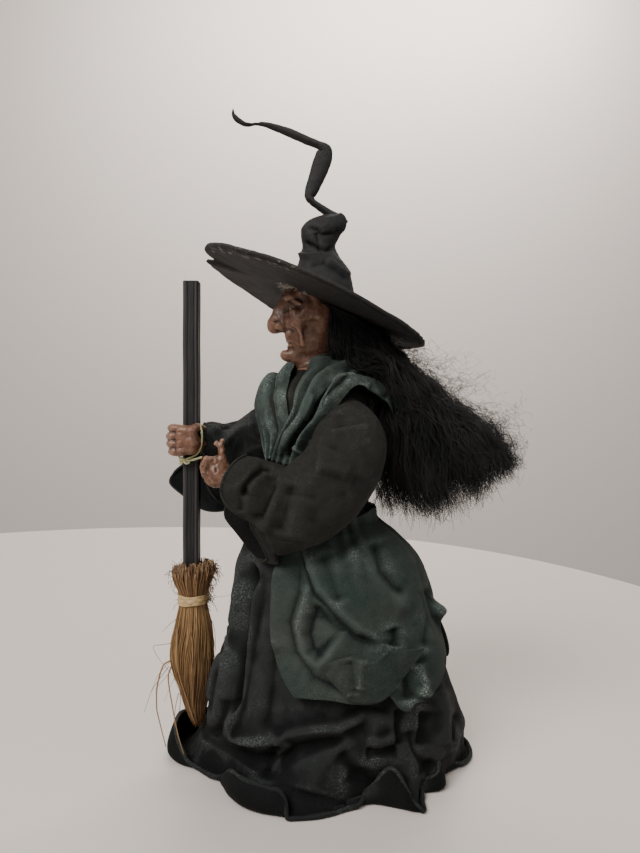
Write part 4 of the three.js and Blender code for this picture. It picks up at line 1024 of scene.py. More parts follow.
def hat_crown():
    rows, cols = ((150, 170))
    x, y, z, wide, deep = spline(CROWN, rows).T[..., None]
    a = around(cols)
    p = np.stack([x + wide * np.cos(a), y + deep * np.sin(a), z + 0 * a], axis=-1)
    # Its foot lies along the tilted brim, and it comes upright above.
    p[..., 2] -= math.tan(BRIM_TILT) * (p[..., 0] - 1.5) * smooth(306, 281, p[..., 2])
    p = outward(p)
    n = grid_normals(p, True)
    z = p[..., 2]
    shift = strokes(seen(p), CROWN_FOLDS) + wrinkles(p, (0.4, 15), (0.25, 7), (0.12, 3.2))
    shift += 0.6 * np.sin(3 * a + z / 7) * smooth(296, 312, z)
    p = p + n * shift[..., None]
    obj = cloth("hat_crown_cloth", [(p, True)], HAT_CLOTH, 1.2, rub_scale=0.4)
    finish_piece(obj, "head_and_hat", "black_cloth", "hat_crown")


def hat_tip():
    rows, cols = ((260, 26))
    x, z, wide, deep = spline(TIP, rows).T
    middle = np.stack([x, 0 * x, z], axis=-1)
    along = np.gradient(middle, axis=0)
    for _ in range(3):
        along[1:-1] = (along[:-2] + along[1:-1] + along[2:]) / 3
    along /= np.linalg.norm(along, axis=1)[:, None]
    side = np.stack([along[:, 2], 0 * along[:, 0], -along[:, 0]], axis=-1)
    a = around(cols)
    square = np.sign(np.cos(a)) * np.abs(np.cos(a)) ** 0.7
    p = middle[:, None] + side[:, None] * (wide[:, None] * square)[..., None]
    p[..., 1] += deep[:, None] * np.sin(a) * (1 - 0.35 * np.abs(np.cos(a)))
    s = np.linspace(0, 1, rows)[:, None]
    p[..., 1] += 2.5 * np.sin(9 * s) * np.minimum(1, 3 * (1 - s))
    p = face_out(p, True, p - middle[:, None])
    n = grid_normals(p, True)
    p = p + n * wrinkles(p, (0.3, 9), (0.22, 4))[..., None]
    rub = np.append(ridge_mask(p, n, True, 9, 0.6), [0, 0])
    obj = new_object("hat_tip_cloth", *capped(p), HAT_CLOTH, rub)
    finish_piece(obj, "head_and_hat", "black_cloth", "hat_tip")


# ------------------------------------------------------------------ solid shapes as distance fields

class Field:
    """A distance field on a regular block of points, in millimetres."""

    def __init__(self, low, high, step):
        self.low, self.step = np.array(low, float), step
        axes = [np.arange(a, b + step, step) for a, b in zip(low, high)]
        self.p = np.stack(np.meshgrid(*axes, indexing="ij"), axis=-1)
        self.d = np.full(self.p.shape[:3], 1e3)

    def ball(self, centre, radii):
        radii = np.array(radii if np.ndim(radii) else [radii] * 3, float)
        q = (self.p - centre) / radii
        k = np.linalg.norm(q, axis=-1)
        return (k - 1) * k / np.maximum(np.linalg.norm(q / radii, axis=-1), 1e-6)

    def rod(self, points, radii):
        """A limb through the points, with a radius at each."""
        pts = np.array(points, float)
        radii = np.array(radii if np.ndim(radii) else [radii] * len(pts), float)
        best = np.full(self.d.shape, 1e3)
        for a, b, ra, rb in zip(pts[:-1], pts[1:], radii[:-1], radii[1:]):
            d = b - a
            t = np.clip(((self.p - a) @ d) / (d @ d), 0, 1)
            off = np.linalg.norm(self.p - a - t[..., None] * d, axis=-1)
            best = np.minimum(best, off - ra - (rb - ra) * t)
        return best

    def block(self, centre, half, rounding):
        q = np.abs(self.p - centre) - (np.array(half, float) - rounding)
        return np.linalg.norm(np.maximum(q, 0), axis=-1) + np.minimum(q.max(axis=-1), 0) - rounding

    def add(self, shape, blend=2.0):
        h = np.clip(0.5 + 0.5 * (self.d - shape) / blend, 0, 1)
        self.d = self.d * (1 - h) + shape * h - blend * h * (1 - h)

    def cut(self, shape, blend=1.0):
        h = np.clip(0.5 - 0.5 * (self.d + shape) / blend, 0, 1)
        self.d = self.d * (1 - h) - shape * h + blend * h * (1 - h)

    def mesh(self):
        """One vertex in each block the surface passes through, and a quad across each crossed edge."""
        f = self.d
        inside = f < 0
        size = tuple(n - 1 for n in f.shape)
        total, count = np.zeros((*size, 3)), np.zeros(size)
        for axis in range(3):
            others = [k for k in range(3) if k != axis]
            for corner in range(4):
                at = [0, 0, 0]
                at[others[0]], at[others[1]] = corner & 1, corner >> 1
                here = tuple(slice(a, a + n) for a, n in zip(at, size))
                at[axis] = 1
                there = tuple(slice(a, a + n) for a, n in zip(at, size))
                crossed = inside[here] != inside[there]
                t = np.where(crossed, f[here] / np.where(crossed, f[here] - f[there], 1), 0)
                at[axis] = 0
                for k in range(3):
                    total[..., k] += np.where(crossed, t if k == axis else at[k], 0)
                count += crossed
        used = count > 0
        number = np.full(size, -1)
        number[used] = np.arange(used.sum())
        verts = self.low + self.step * (np.argwhere(used) + total[used] / count[used][:, None])
        faces = []
        for axis in range(3):
            u, v = (axis + 1) % 3, (axis + 2) % 3
            ends = [slice(1, n) for n in size]
            ends[axis] = slice(0, size[axis])
            shifted = list(ends)
            shifted[axis] = slice(1, size[axis] + 1)
            a, b = inside[tuple(ends)], inside[tuple(shifted)]
            where = np.argwhere(a != b)
            sign = a[tuple(where.T)]
            where = where + [0 if k == axis else 1 for k in range(3)]
            quad = []
            for du, dv in ((-1, -1), (0, -1), (0, 0), (-1, 0)):
                cell = where.copy()
                cell[:, u] += du
                cell[:, v] += dv
                quad.append(number[tuple(cell.T)])
            quad = np.stack(quad, axis=-1)
            quad[~sign] = quad[~sign][:, ::-1]
            faces.append(quad)
        return verts, np.vstack(faces).tolist()


def skin_material():
    mat, n = material("painted_skin", (0.20, 0.075, 0.033), 0.42, specular=0.45, coat=0.1)
    mottle = n.ramp(n.noise(45, 5, 0.6), (0.35, 0.0), (0.68, 1.0))
    base = n.mix(mottle, (0.072, 0.031, 0.017), (0.172, 0.077, 0.036))
    flush = n.ramp(n.noise(95, 4, 0.55), (0.5, 0.0), (0.72, 0.6))
    base = n.mix(flush, base, (0.19, 0.088, 0.062))
    # Painted highlight on the raised relief, and painted shade in the creases.
    relief = n.attribute("rub")
    base = n.mix(n.ramp(relief, (0.03, 0.0), (0.6, 0.8)), base, (0.29, 0.155, 0.105))
    creased = n.ramp(n.times(relief, -1.0), (0.05, 0.0), (0.6, 0.9))
    base = n.mix(creased, base, (0.020, 0.008, 0.006))
    spots = n.ramp(n.noise(520, 3, 0.6), (0.62, 0.0), (0.72, 0.5))
    n.colour(n.mix(spots, base, (0.035, 0.015, 0.010)))
    n.rough(n.noise(150, 4), 0.34, 0.58)
    n.bump(n.noise(420, 5, 0.6), 0.3, 0.6)
    n.bump(n.noise(1500, 2), 0.06, 0.5)
    return mat


SKIN = skin_material()


def solid(name, field, mat, rub_scale=0.35):
    """A field's surface, with `rub` from how far each point stands out of its smoothed self."""
    verts, faces = field.mesh()
    obj = new_object(name, verts, faces, mat)
    mesh = obj.data
    ends = np.zeros(len(mesh.edges) * 2, np.int32)
    mesh.edges.foreach_get("vertices", ends)
    ends = ends.reshape(-1, 2)
    degree = np.bincount(ends.ravel(), minlength=len(verts))[:, None]
    soft = verts.copy()
    for _ in range(10):
        total = np.zeros_like(soft)
        np.add.at(total, ends[:, 0], soft[ends[:, 1]])
        np.add.at(total, ends[:, 1], soft[ends[:, 0]])
        soft = 0.5 * soft + 0.5 * total / degree
    normals = np.zeros(len(verts) * 3)
    mesh.vertex_normals.foreach_get("vector", normals)
    rub = np.clip(np.sum((verts - soft) * normals.reshape(-1, 3), axis=1) / rub_scale, -1, 1)
    point_values(mesh, "rub", rub)
    return obj


def head():
    f = Field((-38, -24, 226), (26, 24, 298), 0.6)
    f.add(f.ball((0, 0, 273.5), (20.5, 16.5, 18.5)))
    f.add(f.ball((-5, 0, 257), (13.5, 12.5, 14)), 6)
    f.add(f.ball((-8, 0, 283.5), (13.2, 15.0, 7.5)), 4)
    f.add(f.rod([(2, 0, 256), (0, 0, 240), (-1, 0, 227)], [9, 8, 8.5]), 4)
    for s in SIDES:
        f.add(f.ball((-17.2, 6.5 * s, 280.5), (4.6, 6.5, 3.2)), 3)
        f.add(f.ball((-12.5, 10.8 * s, 266.5), (5.8, 5.4, 5.2)), 4)
        f.add(f.ball((-3, 13.4 * s, 270), (7.0, 3.4, 8.5)), 5)
        f.cut(f.ball((-18.6, 9.8 * s, 275.0), (3.2, 3.4, 3.1)), 2.2)
        f.add(f.ball((-15.4, 9.6 * s, 274.6), (2.9, 3.2, 2.7)), 1.0)
        f.add(f.ball((-14.8, 11.6 * s, 270.6), (3.9, 2.8, 3.1)), 1.2)
        lower_lid = ((-18.4, 9.4 * s, 271.2), (-15.6, 13.4 * s, 272.8), (-14.4, 13.6 * s, 273.2))
        brow = ((-17.2, 6.5 * s, 277.4), (-15.2, 11.8 * s, 277.8), (-12.0, 13.9 * s, 275.8))
        under_eye = ((-16.8, 8.5 * s, 268.0), (-14.2, 13.2 * s, 267.2), (-12.6, 14.0 * s, 268.4))
        f.cut(f.rod(lower_lid, 0.3), 0.8)
        f.add(f.rod(brow, 1.25), 1.0)
        f.cut(f.rod(under_eye, 0.5), 1.3)
    # Nose: a long hooked beak with a broad root.
    f.add(f.rod([(-18.5, 0, 284), (-21.0, 0, 276), (-24.0, 0, 267.5)], [4.6, 5.0, 5.4]), 2.5)
    f.add(f.rod([(-21.5, 0, 280), (-26.3, 0, 273.5), (-29.0, 0, 266.0)], [2.6, 3.4, 3.8]), 2.5)
    f.add(f.ball((-28.9, 0, 264.3), (4.1, 3.7, 4.4)), 1.5)
    f.add(f.rod([(-26, 0, 264.0), (-20, 0, 266)], [3.6, 4.4]), 2.5)
    for s in SIDES:
        f.add(f.ball((-24.6, 3.9 * s, 264.0), (3.4, 2.5, 2.7)), 1.2)
        f.cut(f.rod([(-27.6, 3.8 * s, 266.8), (-23.6, 5.8 * s, 267.6), (-20.8, 6.4 * s, 264.8)], 0.35), 1.0)
        cheek_fold = ((-19.8, 6.6 * s, 268.2), (-17.4, 9.6 * s, 263.8), (-14.4, 11.8 * s, 259.0),
                      (-13.0, 11.6 * s, 253.0))
        cheek_ridge = ((-19.6, 6.3 * s, 271.0), (-17.0, 9.8 * s, 267.5), (-13.0, 12.6 * s, 262.5),
                       (-11.4, 11.8 * s, 257.0), (-10.6, 10.0 * s, 252.0))
        f.cut(f.rod(cheek_fold, 0.6), 1.4)
        f.add(f.rod(cheek_ridge, 0.9), 2.0)
        f.add(f.ball((-17.5, 6.0 * s, 266.5), (4.2, 3.6, 5.0)), 3)
        f.cut(f.ball((-5.0, 16.8 * s, 259.0), (5.0, 3.2, 6.0)), 5)
        temple = ((-14.2, 12.6 * s, 287.0), (-11.4, 15.2 * s, 283.0), (-9.2, 16.4 * s, 279.4))
        f.cut(f.rod(temple, 0.5), 1.2)
        f.add(f.rod([(-6, 15.8 * s, 284), (-2, 16.4 * s, 276), (-1, 15.8 * s, 268)], 1.2), 2.5)
        f.cut(f.ball((-25.6, 3.2 * s, 261.2), (1.5, 0.9, 0.9)), 0.6)
        for k in range(3):
            f.cut(f.rod([(-20.6, 3 * s, 283.0 + 2.2 * k), (-16.8, 10.0 * s, 284.6 + 2.2 * k)], 0.3), 0.9)
    # Mouth and chin.
    f.add(f.ball((-15.0, 0, 258), (6.6, 7.0, 5.6)), 3)
    f.add(f.ball((-18.4, -5.0, 259.4), (2.9, 2.7, 2.8)), 0.8)
    f.add(f.ball((-18.6, 4.6, 259.0), (2.4, 2.3, 2.4)), 1.2)
    f.add(f.ball((-18.5, 0, 255.2), (2.6, 5.2, 1.5)), 0.8)
    f.add(f.ball((-18.0, 0, 252.0), (2.7, 4.8, 1.5)), 0.8)
    for s in SIDES:
        f.cut(f.rod([(-21.5, 0, 253.6), (-16.6, 6.4 * s, 253.2), (-14.8, 8.0 * s, 251.8)], 0.4), 0.6)
    f.add(f.rod([(-11, 0, 248.0), (-19.6, 0, 246.4)], [6.0, 4.3]), 2.0)
    f.add(f.ball((-21.2, 0, 246.6), (3.6, 3.8, 3.5)), 0.8)
    f.cut(f.rod([(-19.8, -5, 249.6), (-21.6, 0, 250.4), (-19.8, 5, 249.6)], 0.5), 1.1)
    f.add(f.rod([(-14, 0, 244.5), (-6, 0, 240)], [4.5, 7]), 3)
    # The neck spreads at its foot and covers the end of the padding.
    f.add(f.ball((0, 0, 236.8), (15.0, 15.0, 2.6)), 3)
    f.d += 0.35 * noise(f.p / 4.5) * smooth(8, -6, f.p[..., 0]) + 0.12 * noise(f.p / 1.9)
    finish_piece(solid("head_skin", f, SKIN), "head_and_hat", "skin", "head")


def eyes():
    white, n = material("eye_white", (0.42, 0.30, 0.24), 0.2, coat=0.5)
    n.colour(n.mix(n.noise(700, 3), (0.30, 0.16, 0.11), (0.50, 0.38, 0.30)))
    dark, n = material("pupil", (0.006, 0.005, 0.005), 0.15, coat=0.5)
    n.colour(n.mix(n.noise(300, 2), (0.004, 0.003, 0.003), (0.012, 0.008, 0.006)))
    for s, side in zip(SIDES, ("left", "right")):
        near, far = sorted((5 * s, 14 * s))
        for part, centre, radius, step, mat in (("eye", (-15.9, 9.4 * s, 273.9), 2.75, 0.3, white),
                                                ("pupil", (-17.1, 11.3 * s, 274.0), 0.95, 0.25, dark)):
            f = Field((-20, near, 269), (-10, far, 279), step)
            f.add(f.ball(centre, radius), 0.1)
            finish_piece(new_object(f"{side}_{part}", *f.mesh(), mat), "head_and_hat", "skin")


def right_hand():
    f = Field((-98, -22, 178), (-64, 22, 208), 0.5)
    f.add(f.block((-80.2, -14.2, 193.8), (6.4, 4.2, 8.8), 3.4), 1)
    for k, out in enumerate((0.0, 0.9, 0.7, -0.4)):
        z = 201.0 - 4.75 * k
        finger = ((-83, -14.6, z - 0.3), (-88.6 - out, -13.0, z), (-91.0 - out, -7.5, z),
                  (-90.2 - out, -2.6, z - 0.2), (-87.2, -0.6, z))
        f.add(f.rod(finger, (2.5, 2.65, 2.45, 2.3, 2.1)), 0.9)
        f.add(f.ball((-88.4 - out, -14.2, z), (1.9, 1.6, 1.9)), 0.8)
        if k:
            f.cut(f.rod([(-82, -19.0, z + 2.4), (-90, -16.2, z + 2.4), (-94.6, -8, z + 2.4)], 0.35), 0.8)
    f.add(f.rod([(-78, -14, 199), (-74.6, -11, 201.5), (-72.2, -5.5, 200.5)], [3.0, 2.6, 2.2]), 1.2)
    wrist = ((-77, -13.6, 192), (-71.4, -4, 190.5), (-70.5, 9, 186.5), (-71, 18, 181))
    f.add(f.rod(wrist, (4.6, 4.4, 4.6, 4.6)), 2.5)
    f.cut(f.block((STICK_AT[0], STICK_AT[1], 193), (5.0, 5.0, 30), 1.0), 0.3)
    f.d += 0.25 * noise(f.p / 3.2) + 0.1 * noise(f.p / 1.5)
    obj = solid("right_hand_skin", f, SKIN)
    finish_piece(obj, "figure", "skin", "right_hand")


def left_hand():
    f = Field((-78, -36, 156), (-40, -8, 200), 0.5)
    f.add(f.ball((-61.4, -21.5, 176.0), (6.4, 5.4, 8.6)), 1)
    f.add(f.ball((-62.4, -23.0, 171.5), (5.6, 5.2, 5.4)), 2)
    f.add(f.rod([(-60, -22, 176), (-53, -24, 169), (-44, -30, 163)], [6.4, 6.0, 6.0]), 3)
    knuckles = ((-66.2, -25.6, 182.6), (-67.0, -21.6, 182.0), (-67.2, -17.8, 180.6), (-66.6, -14.6, 178.4))
    for x, y, z in knuckles:
        finger = ((-62, y * 0.6 - 8.6, z - 2.4), (x, y, z), (x - 2.0, y + 0.4, z - 4.4),
                  (x - 1.2, y + 0.8, z - 8.4), (x + 2.0, y + 0.6, z - 10.4))
        f.add(f.rod(finger, (2.6, 2.5, 2.4, 2.2, 2.0)), 1.3)
    f.add(f.ball((-64.0, -26.6, 183.0), (1.7, 1.3, 1.7)), 0.8)
    f.add(f.ball((-61.6, -26.4, 181.2), (1.6, 1.2, 1.6)), 0.9)
    thumb = ((-57.6, -22.5, 178.5), (-58.0, -22.8, 186.0), (-58.4, -22.8, 191.2))
    f.add(f.rod(thumb, (3.6, 2.2, 1.7)), 1.8)
    f.add(f.rod([(-58.4, -22.8, 190.0), (-61.2, -22.8, 192.0)], [1.5, 1.45]), 0.6)
    f.add(f.rod([(-58.4, -22.8, 190.5), (-57.6, -22.8, 193.4)], [1.6, 1.45]), 0.6)
    f.cut(f.rod([(-61.0, -28.2, 179.0), (-60.4, -28.2, 175.0)], 0.3), 0.9)
    f.cut(f.rod([(-68.6, -27.6, 178.6), (-64.0, -28.8, 179.6), (-61.6, -27.6, 182.6)], 0.3), 0.8)
    f.cut(f.rod([(-69.0, -27.0, 174.2), (-65.0, -28.4, 174.2)], 0.3), 0.8)
    f.d += 0.35 * noise(f.p / 3.2) + 0.16 * noise(f.p / 1.5)
    obj = solid("left_hand_skin", f, SKIN)
    finish_piece(obj, "figure", "skin", "left_hand")


# ------------------------------------------------------------------ hair and straw

def under_brim(p):
    """Keeps hair below the hat's brim."""
    c, s = math.cos(BRIM_TILT), math.sin(BRIM_TILT)
    dx, dz, deep = p[..., 0] - BRIM_AT[0], p[..., 2] - BRIM_AT[2], p[..., 1]
    across, up = dx * c - dz * s, dx * s + dz * c
    ceiling = brim_droop(deep / BRIM_RADIUS) - 3.4
    covered = smooth(BRIM_RADIUS + 3, BRIM_RADIUS - 3, np.hypot(across, deep))
    return on_brim(across, deep, up + covered * (np.minimum(up, ceiling) - up))


def strands(name, paths, radii, mat, sides=3, attribute=None):
    """Many thin tubes in one mesh. Paths are (count, steps, 3), radii and the attribute (count, steps)."""
    count, steps = paths.shape[:2]
    along = np.gradient(paths, axis=1)
    along /= np.maximum(np.linalg.norm(along, axis=-1, keepdims=True), 1e-9)
    helper = np.where(np.abs(along[..., 1:2]) < 0.8, [0.0, 1.0, 0.0], [1.0, 0.0, 0.0])
    u = np.cross(along, helper)
    u /= np.linalg.norm(u, axis=-1, keepdims=True)
    v = np.cross(along, u)
    a = np.arange(sides) / sides * TAU
    ring = u[:, :, None] * np.cos(a)[:, None] + v[:, :, None] * np.sin(a)[:, None]
    verts = (paths[:, :, None] + ring * radii[:, :, None, None]).reshape(-1, 3)
    base = (np.arange(count) * steps * sides)[:, None, None]
    row = (np.arange(steps - 1) * sides)[None, :, None]
    k = np.arange(sides)[None, None, :]
    nxt = (k + 1) % sides
    corner = base + row
    quads = [corner + k, corner + nxt, corner + sides + nxt, corner + sides + k]
    faces = np.stack(quads, axis=-1).reshape(-1, 4).tolist()
    first, last = base[:, 0, 0], base[:, 0, 0] + (steps - 1) * sides
    faces += [[b + j for j in range(sides)][::-1] for b in first]
    faces += [[b + j for j in range(sides)] for b in last]
    values = None if attribute is None else np.repeat(attribute.ravel(), sides)
    return new_object(name, verts, faces, mat, values)


def hair_material():
    mat, n = material("black_hair", (0.012, 0.011, 0.011), 0.7, specular=0.25)
    streak = n.ramp(n.noise(60, 4, 0.6, n.stretch(1, 1, 1)), (0.4, 0.0), (0.75, 1.0))
    n.colour(n.mix(streak, (0.015, 0.016, 0.0165), (0.038, 0.035, 0.031)))
    n.rough(n.noise(200, 3), 0.55, 0.8)
    n.bump(n.noise(900, 3), 0.08, 0.5)
    return mat


HAIR = hair_material()
# The wig's two outlines, X and Z from root to end.
TOP_LINE = ((14, 276), (24, 266), (34, 256), (47, 243), (62, 227), (79, 212), (95, 200), (106, 189),
            (113, 177))
FRONT_LINE = ((4, 284), (6, 268), (6, 252), (13, 242), (29, 233), (38, 221), (40, 205), (38.5, 186),
              (36.5, 168), (36, 152.5))
# Where the locks end, from the upper tail (0) round to the front (1): that share, X and Z.
ENDS = ((0.0, 116, 180), (0.12, 117, 174), (0.22, 110, 170), (0.34, 104, 164), (0.48, 94, 157),
        (0.6, 82, 151), (0.72, 69, 147.5), (0.86, 52, 148.5), (1.0, 36, 151))
# How far back and how far to each side any loose hair reaches.
HAIR_REACH, HAIR_SPREAD = 125.5, 45
# How much the wig narrows along its two outlines, against midway between them.
HAIR_SQUARE = 0.72


def hair_section(u, square):
    """The share of its full depth that the wig has at u."""
    return np.sqrt(np.maximum(1 - square * (2 * u - 1) ** 2, 0.05))


def hair_point(u, s, v):
    """u runs from the top outline (0) to the front one (1), s from root to end, v across the depth."""
    lines = []
    for line in (TOP_LINE, FRONT_LINE):
        steps = np.linspace(0, 1, len(line))
        lines.append(np.stack([curve(list(zip(steps, [q[k] for q in line])), s) for k in (0, 1)], axis=-1))
    end = np.stack([curve([(q[0], q[k]) for q in ENDS], u) for k in (1, 2)], axis=-1)
    flat = lines[0] * (1 - u[..., None]) + lines[1] * u[..., None]
    last = np.array(TOP_LINE[-1]) * (1 - u[..., None]) + np.array(FRONT_LINE[-1]) * u[..., None]
    flat = flat + (end - last) * (s ** 2)[..., None]
    wide = curve([(0, 18.5), (0.12, 20), (0.3, 23), (0.5, 27), (0.78, 28), (1, 21)], s)
    y = v * wide * hair_section(u, HAIR_SQUARE * smooth(0.0, 0.35, s))
    return np.stack([flat[..., 0], y, flat[..., 1]], axis=-1)


def hair_core():
    """The closed mass that the locks lie over."""
    rows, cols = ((90, 120))
    s = np.linspace(0, 0.88, rows)[:, None]
    a = around(cols)
    u = 0.5 - 0.46 * np.cos(a) + 0 * s
    v = 0.9 * np.sin(a) / hair_section(u, HAIR_SQUARE) * 0.8
    p = hair_point(u, s + 0 * a, np.clip(v, -0.95, 0.95))
    p[..., 2] -= 2.5 * smooth(0.6, 0.2, s)
    p = outward(p)
    n = grid_normals(p, True)
    ring = np.stack([20 * np.cos(a) + 0 * s, 20 * np.sin(a) + 0 * s, 3 * s + 0 * a], axis=-1)
    grooves = noise(ring * 0.55)
    p = under_brim(p + n * (1.8 * grooves + 1.6 * noise(p / 7) - 2.2)[..., None])
    finish_piece(new_object("hair_core", *capped(p), HAIR), "head_and_hat", "hair", "hair")


def hair_locks():
    """Wavy, crimped locks in four objects, each small enough to keep its detail when exported."""
    t = np.linspace(0, 1, 26)[None, :]
    count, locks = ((1280, 90))
    for letter, seed in zip("abcd", (21, 22, 23, 24)):
        g = np.random.default_rng(seed)
        lock_u, lock_v = g.uniform(0, 1, locks), g.uniform(-1, 1, locks)
        lock_v = np.sign(lock_v) * np.abs(lock_v) ** 0.4
        lock_end, lock_wave = g.uniform(0.92, 1.05, locks), g.uniform(2.0, 5.0, locks)
        lock_phase, lock_size = g.uniform(0, TAU, (locks, 2)), g.uniform(1.2, 3.8, locks)
        which = g.integers(0, locks, count)
        spread = g.normal(0, 1, (count, 2))
        s = t * (lock_end[which] * g.uniform(0.88, 1.02, count))[:, None]
        u = np.clip(lock_u[which][:, None] + 0.05 * spread[:, :1] * (1 - 0.4 * t), 0, 1)
        v = np.clip(lock_v[which][:, None] + 0.13 * spread[:, 1:] * (1 - 0.4 * t), -1.12, 1.12)
        p = hair_point(u, s, v)
        grow = smooth(0.05, 0.4, t)
        sway = np.stack([noise(p / 17 + 40 * k + seed) + 0.4 * noise(p / 7 + 9 * k)
                         for k in range(3)], axis=-1)
        turn = TAU * lock_wave[which][:, None] * s
        size = lock_size[which][:, None]
        p[..., 2] += grow * size * np.sin(turn + lock_phase[which][:, :1])
        p[..., 1] += grow * size * np.cos(1.3 * turn + lock_phase[which][:, 1:])
        p[..., 0] += grow * 0.6 * size * np.cos(turn + lock_phase[which][:, 1:])
        crimp, phase = TAU * g.uniform(6, 14, (count, 1)), g.uniform(0, TAU, (count, 2))
        frizz = g.gamma(2.0, 0.75, (count, 1)) * grow
        p[..., 2] += frizz * np.sin(crimp * s + phase[:, :1])
        p[..., 1] += frizz * np.cos(crimp * s + phase[:, 1:])
        p += sway * (7.5 * grow)[..., None] * [0.8, 0.7, 1.0]
        stray = g.normal(0, 1, (count, 3)) * (g.random((count, 1)) < 0.3)
        p += stray[:, None] * (5.0 * smooth(0.35, 1, t))[..., None] * [0.6, 0.8, 0.8]
        radius = 0.24 * (1 - 0.72 * t ** 3) * g.uniform(0.7, 1.2, (count, 1))
        p[..., 0] = np.minimum(p[..., 0], HAIR_REACH)
        obj = strands(f"hair_locks_{letter}", under_brim(p), radius, HAIR)
        finish_piece(obj, "head_and_hat", "hair")


def hair_frizz(g):
    """Loose hairs that stand off the upper outline and the tail."""
    t = np.linspace(0, 1, 26)[None, :]
    count = 1300
    start = g.uniform(0.16, 0.95, (count, 1))
    s = np.minimum(start + t * g.uniform(0.06, 0.26, (count, 1)), 1.0)
    u = np.abs(g.normal(0, 0.08, (count, 1))) + 0 * t
    tail = g.random((count, 1)) < 0.35
    u = np.where(tail, g.uniform(0, 1, (count, 1)), u)
    s = np.where(tail, 0.78 + 0.24 * t * g.uniform(0.7, 1.1, (count, 1)), s)
    v = g.uniform(-0.9, 0.9, (count, 1)) + 0 * t
    p = hair_point(np.clip(u, 0, 1), s, v)
    away = g.gamma(1.2, 1.0, (count, 1)) / 1.2
    reach = np.where(tail, 2.0, 8.5 * curve([(0, 0.3), (0.25, 0.9), (0.6, 1.2), (1, 0.6)], start)) * away
    lean = np.array([0.5, 0.0, 0.86]) + 0.45 * g.normal(0, 1, (count, 1, 3))
    p += (t ** 0.8 * np.minimum(reach, 22))[..., None] * lean
    for turns, amp in ((1.2, 2.6), (3.0, 1.9), (6.5, 0.9)):
        phase = g.uniform(0, TAU, (count, 1, 3))
        wave = np.sin(TAU * turns * t[..., None] * g.uniform(0.6, 1.4, (count, 1, 1)) + phase)
        p += amp * smooth(0, 0.35, t)[..., None] * wave
    p[..., 0] = np.minimum(p[..., 0], HAIR_REACH)
    p[..., 1] = np.clip(p[..., 1], -HAIR_SPREAD, HAIR_SPREAD)
    radius = 0.12 * (1 - 0.5 * t) * g.uniform(0.6, 1.15, (count, 1))
    obj = strands("hair_frizz", under_brim(p), radius, HAIR)
    finish_piece(obj, "head_and_hat", "hair")


def forehead_wisp(g):
    """Whitish hair that shows under the brim over the forehead."""
    count = 260
    grey, n = material("grey_wisp", (0.5, 0.47, 0.42), 0.6)
    n.colour(n.mix(n.noise(300, 3), (0.32, 0.28, 0.23), (0.62, 0.6, 0.55)))
    box = ((-22, -7), (-17, 12), (286.5, 290))
    root = np.stack([g.uniform(low, high, count) for low, high in box], axis=-1)
    root[:, 1] = np.clip(root[:, 1], -np.sqrt(np.maximum(18.5 ** 2 - root[:, 0] ** 2 * 0.72, 4)), 14)
    underside = BRIM_AT[2] - math.tan(BRIM_TILT) * (root[:, 0] - BRIM_AT[0])
    underside += 2.6 * np.exp(-((root[:, 0] + 20) / 12) ** 2)
    root[:, 2] = np.minimum(root[:, 2], underside - g.uniform(0.4, 2.4, count))
    t = np.linspace(0, 1, 10)[None, :, None]
    turn = g.normal(0, 1, (count, 1, 3))
    p = root[:, None] + t * np.array([-1.0, -0.8, 0.4]) * 2.4 + t * turn * 1.6
    p += 0.5 * np.sin(TAU * 1.4 * t + g.uniform(0, TAU, (count, 1, 3)))
    obj = strands("forehead_wisp", p, 0.16 + 0 * p[..., 0], grey)
    finish_piece(obj, "head_and_hat", "hair")


def hair():
    hair_core()
    hair_locks()
    g = np.random.default_rng(33)
    hair_frizz(g)
    forehead_wisp(g)


def straw_material(name, low, high, dark):
    mat, n = material(name, low, 0.5, specular=0.4)
    shade = n.attribute("rub")
    base = n.mix(n.ramp(shade, (0.15, 0.0), (0.85, 1.0)), low, high)
    stained = n.ramp(n.noise(120, 4, 0.6, n.stretch(1, 1, 0.15)), (0.5, 0.0), (0.75, 0.7))
    n.colour(n.mix(stained, base, dark))
    n.rough(n.noise(200, 3), 0.35, 0.6)
    n.bump(n.noise(1300, 3, 0.5, n.stretch(1, 1, 0.1)), 0.08, 0.5)
    return mat


BRISTLE = straw_material("bristle_straw", (0.14, 0.070, 0.030), (0.36, 0.22, 0.095), (0.075, 0.037, 0.017))
RAFFIA = straw_material("raffia", (0.34, 0.22, 0.10), (0.50, 0.36, 0.18), (0.24, 0.14, 0.06))
CORD = straw_material("tie_cord", (0.30, 0.29, 0.14), (0.42, 0.41, 0.23), (0.16, 0.15, 0.07))

# Height, and the bundle's left and right edges, all as seen.
BUNDLE = (
    (16, -77.8, -72.2), (22, -80.6, -71.2), (31, -84.4, -69.6), (40, -87.2, -67.4), (50, -91.0, -65.8),
    (60, -92.8, -65.8), (68, -92.4, -66.2), (78, -90.0, -67.6), (85, -88.6, -69.3), (92, -87.2, -70.9),
    (98, -87.4, -70.8), (106, -90.6, -68.0), (113, -91.2, -65.8), (117, -90.3, -66.3),
)


def bundle_at(z, u, v):
    """A point in the broom's head: u from its left edge (-1) to its right (1), v in depth."""
    left = curve([(q[0], q[1]) for q in BUNDLE], z)
    right = curve([(q[0], q[2]) for q in BUNDLE], z)
    shrink = 1.0 + STICK_AT[1] / CAMERA_BACK
    middle, half = 0.5 * (left + right) * shrink, 0.5 * (right - left) * shrink
    deep = np.minimum(half, 11.5)
    y = STICK_AT[1] + 0.04 * (z - 100) * smooth(100, 60, z) + v * deep
    true_z = CAMERA_UP + (z - CAMERA_UP) * shrink
    return np.stack([middle + u * half, y + 0 * z, true_z + 0 * z], axis=-1)


